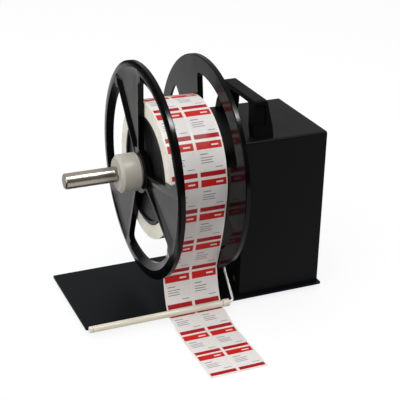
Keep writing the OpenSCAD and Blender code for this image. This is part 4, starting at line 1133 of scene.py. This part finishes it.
@dataclass
class Studio:
    """The pale floor, soft lamps and the photograph's camera.

    The camera's place is in millimetres of the machine, the table in metres. The white sweep lies
    within spans of the heading's y and z, and the dim room elsewhere.
    """

    place: Triple = (-261.567, -870.471, 557.060)
    azimuth: float = 23.6415
    elevation: float = 24.6867
    roll: float = 1.1905
    focal_pixels: float = 1070.204
    sensor: float = 36.0
    clip: Pair = (0.05, 30.0)
    table: Pair = (1.9, 2.6)
    table_edge: Pair = (-0.157, -0.03)
    table_turn: float = 13.0
    white: str = "#ffffff"
    paper: str = "#bcbcbc"
    paper_roughness: float = 0.9
    paper_glow: float = 0.85
    ambient: float = 0.25
    dim: float = 0.05
    sweep: float = 0.72
    sweep_behind: Pair = (-0.3, 0.4)
    sweep_above: Pair = (-0.05, 0.3)
    softboxes: tuple[Softbox, ...] = (
        # Wide and high: lights the tops evenly, without a shine
        Softbox("overhead", (-0.1, 0.1, 1.7), (0, 0.05, 0.1), (3.4, 2.8), 42, glossy=False),
        # Left of the camera: lights the hub, the roll's side and the spokes
        Softbox("key_left", (-1.5, -0.7, 0.9), (0, 0.05, 0.12), (1.9, 1.7), 19),
        # Right of the camera and weak: lifts the front
        Softbox("fill_right", (1.2, -1.3, 0.7), (0, 0.05, 0.12), (0.9, 0.9), 3),
        # Narrow: draws the streaks on the flanges' rims
        Softbox("gleam", (0.45, -0.53, 1.52), (-0.02, -0.04, 0.22), (0.14, 0.4), 17, diffuse=False),
    )

    def camera(self) -> None:
        """Sets the camera where the photograph was taken."""
        data = bpy.data.cameras.new("photograph")
        data.sensor_width = self.sensor
        data.lens = self.focal_pixels * self.sensor / IMAGE_SIDE
        data.clip_start, data.clip_end = self.clip
        camera = add_object("photograph", data)
        aim = Euler((math.radians(90 - self.elevation), 0, math.radians(-self.azimuth))).to_matrix()
        turn = Euler((0, 0, math.radians(self.roll))).to_matrix()
        camera.matrix_world = (aim @ turn).to_4x4()
        camera.location = at(*self.place)
        bpy.context.scene.camera = camera

    def seen(self, tree: Tree) -> Socket:
        """Tells rays from the camera, and those that gloss and glass show, from the rest.

        Args:
            tree: The node tree.

        Returns:
            A socket that is 1 for such rays and 0 for others.
        """
        path = add_node(tree, "LightPath").outputs
        found = path["Is Camera Ray"]
        for ray in ("Is Glossy Ray", "Is Transmission Ray"):
            found = add_node(tree, "Math", {0: found, 1: path[ray]}, operation="MAXIMUM").outputs[0]
        return found

    def world(self) -> None:
        """Sets a white sweep behind the machine and a dim room on the photographer's side."""
        world = bpy.data.worlds.new("studio")
        world.use_nodes = True
        tree = world.node_tree
        sky = add_node(tree, "TexCoord").outputs["Generated"]
        heading = add_node(tree, "SeparateXYZ", {0: sky}).outputs
        near, far = self.sweep_behind
        behind = add_node(
            tree, "MapRange", {"Value": heading["Y"], "From Min": near, "From Max": far},
            interpolation_type="SMOOTHSTEP",
        )
        low, high = self.sweep_above
        above = add_node(tree, "MapRange", {"Value": heading["Z"], "From Min": low, "From Max": high})
        lit = add_node(tree, "Math", {0: behind.outputs[0], 1: above.outputs[0]}, operation="MULTIPLY")
        levels = {"Value": lit.outputs[0], "To Min": self.dim, "To Max": self.sweep}
        room = add_node(tree, "MapRange", levels)
        camera = add_node(tree, "LightPath").outputs["Is Camera Ray"]
        shown = add_node(tree, "Math", {0: room.outputs[0], 1: camera}, operation="MAXIMUM")
        strength = add_node(
            tree, "MapRange", {"Value": self.seen(tree), "To Min": self.ambient, "To Max": shown.outputs[0]}
        )
        feed(tree, tree.nodes["Background"], {"Color": linear(self.white), "Strength": strength.outputs[0]})
        bpy.context.scene.world = world

    def floor(self) -> None:
        """Lays a white table top that keeps the machine's shadow and ends near its left side."""
        bpy.ops.object.select_all(action="DESELECT")
        turn = Euler((0, 0, math.radians(self.table_turn)))
        middle = Vector((*self.table_edge, 0)) + turn.to_matrix() @ Vector((self.table[0] / 2, 0, 0))
        bpy.ops.mesh.primitive_plane_add(size=1, location=middle, rotation=turn)
        floor = bpy.context.object
        floor.name = "studio_floor"
        floor.scale = (*self.table, 1)
        bpy.ops.object.transform_apply(location=True, rotation=True, scale=True)
        material = bpy.data.materials.new("white_paper_sweep")
        material.use_nodes = True
        tree = material.node_tree
        tones = {SHARE: self.seen(tree), COLOUR_A: linear(self.paper), COLOUR_B: linear(self.white)}
        tone = add_node(tree, "Mix", tones, data_type="RGBA")
        shader = tree.nodes["Principled BSDF"]
        feed(tree, shader, {"Base Color": tone.outputs[MIXED_COLOUR], "Roughness": self.paper_roughness})
        glow = add_node(tree, "Emission", {"Color": linear(self.white), "Strength": 1.0})
        share = add_node(tree, "Math", {0: self.seen(tree), 1: self.paper_glow}, operation="MULTIPLY")
        mix = add_node(tree, "MixShader", {0: share.outputs[0], 1: shader.outputs[0], 2: glow.outputs[0]})
        feed(tree, tree.nodes["Material Output"], {"Surface": mix.outputs[0]})
        floor.data.materials.append(material)

    def build(self) -> None:
        """Sets up the studio."""
        self.camera()
        self.world()
        self.floor()
        for softbox in self.softboxes:
            softbox.build()
        bpy.context.scene.view_settings.view_transform = "Standard"


def main() -> None:
    """Loads the frame, builds every sub-assembly in order and notes the sizes."""
    logging.basicConfig(level=logging.INFO, format="%(message)s")
    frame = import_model()
    Studio().build()
    for group in (BaseAndFeet, Housing, Drive, Controls, Spindle, TensionArm, LabelRoll, LabelWeb):
        group(frame["nodes"]).build()
        LOG.info("built %s", group.__name__)


if __name__ == "__main__":
    main()
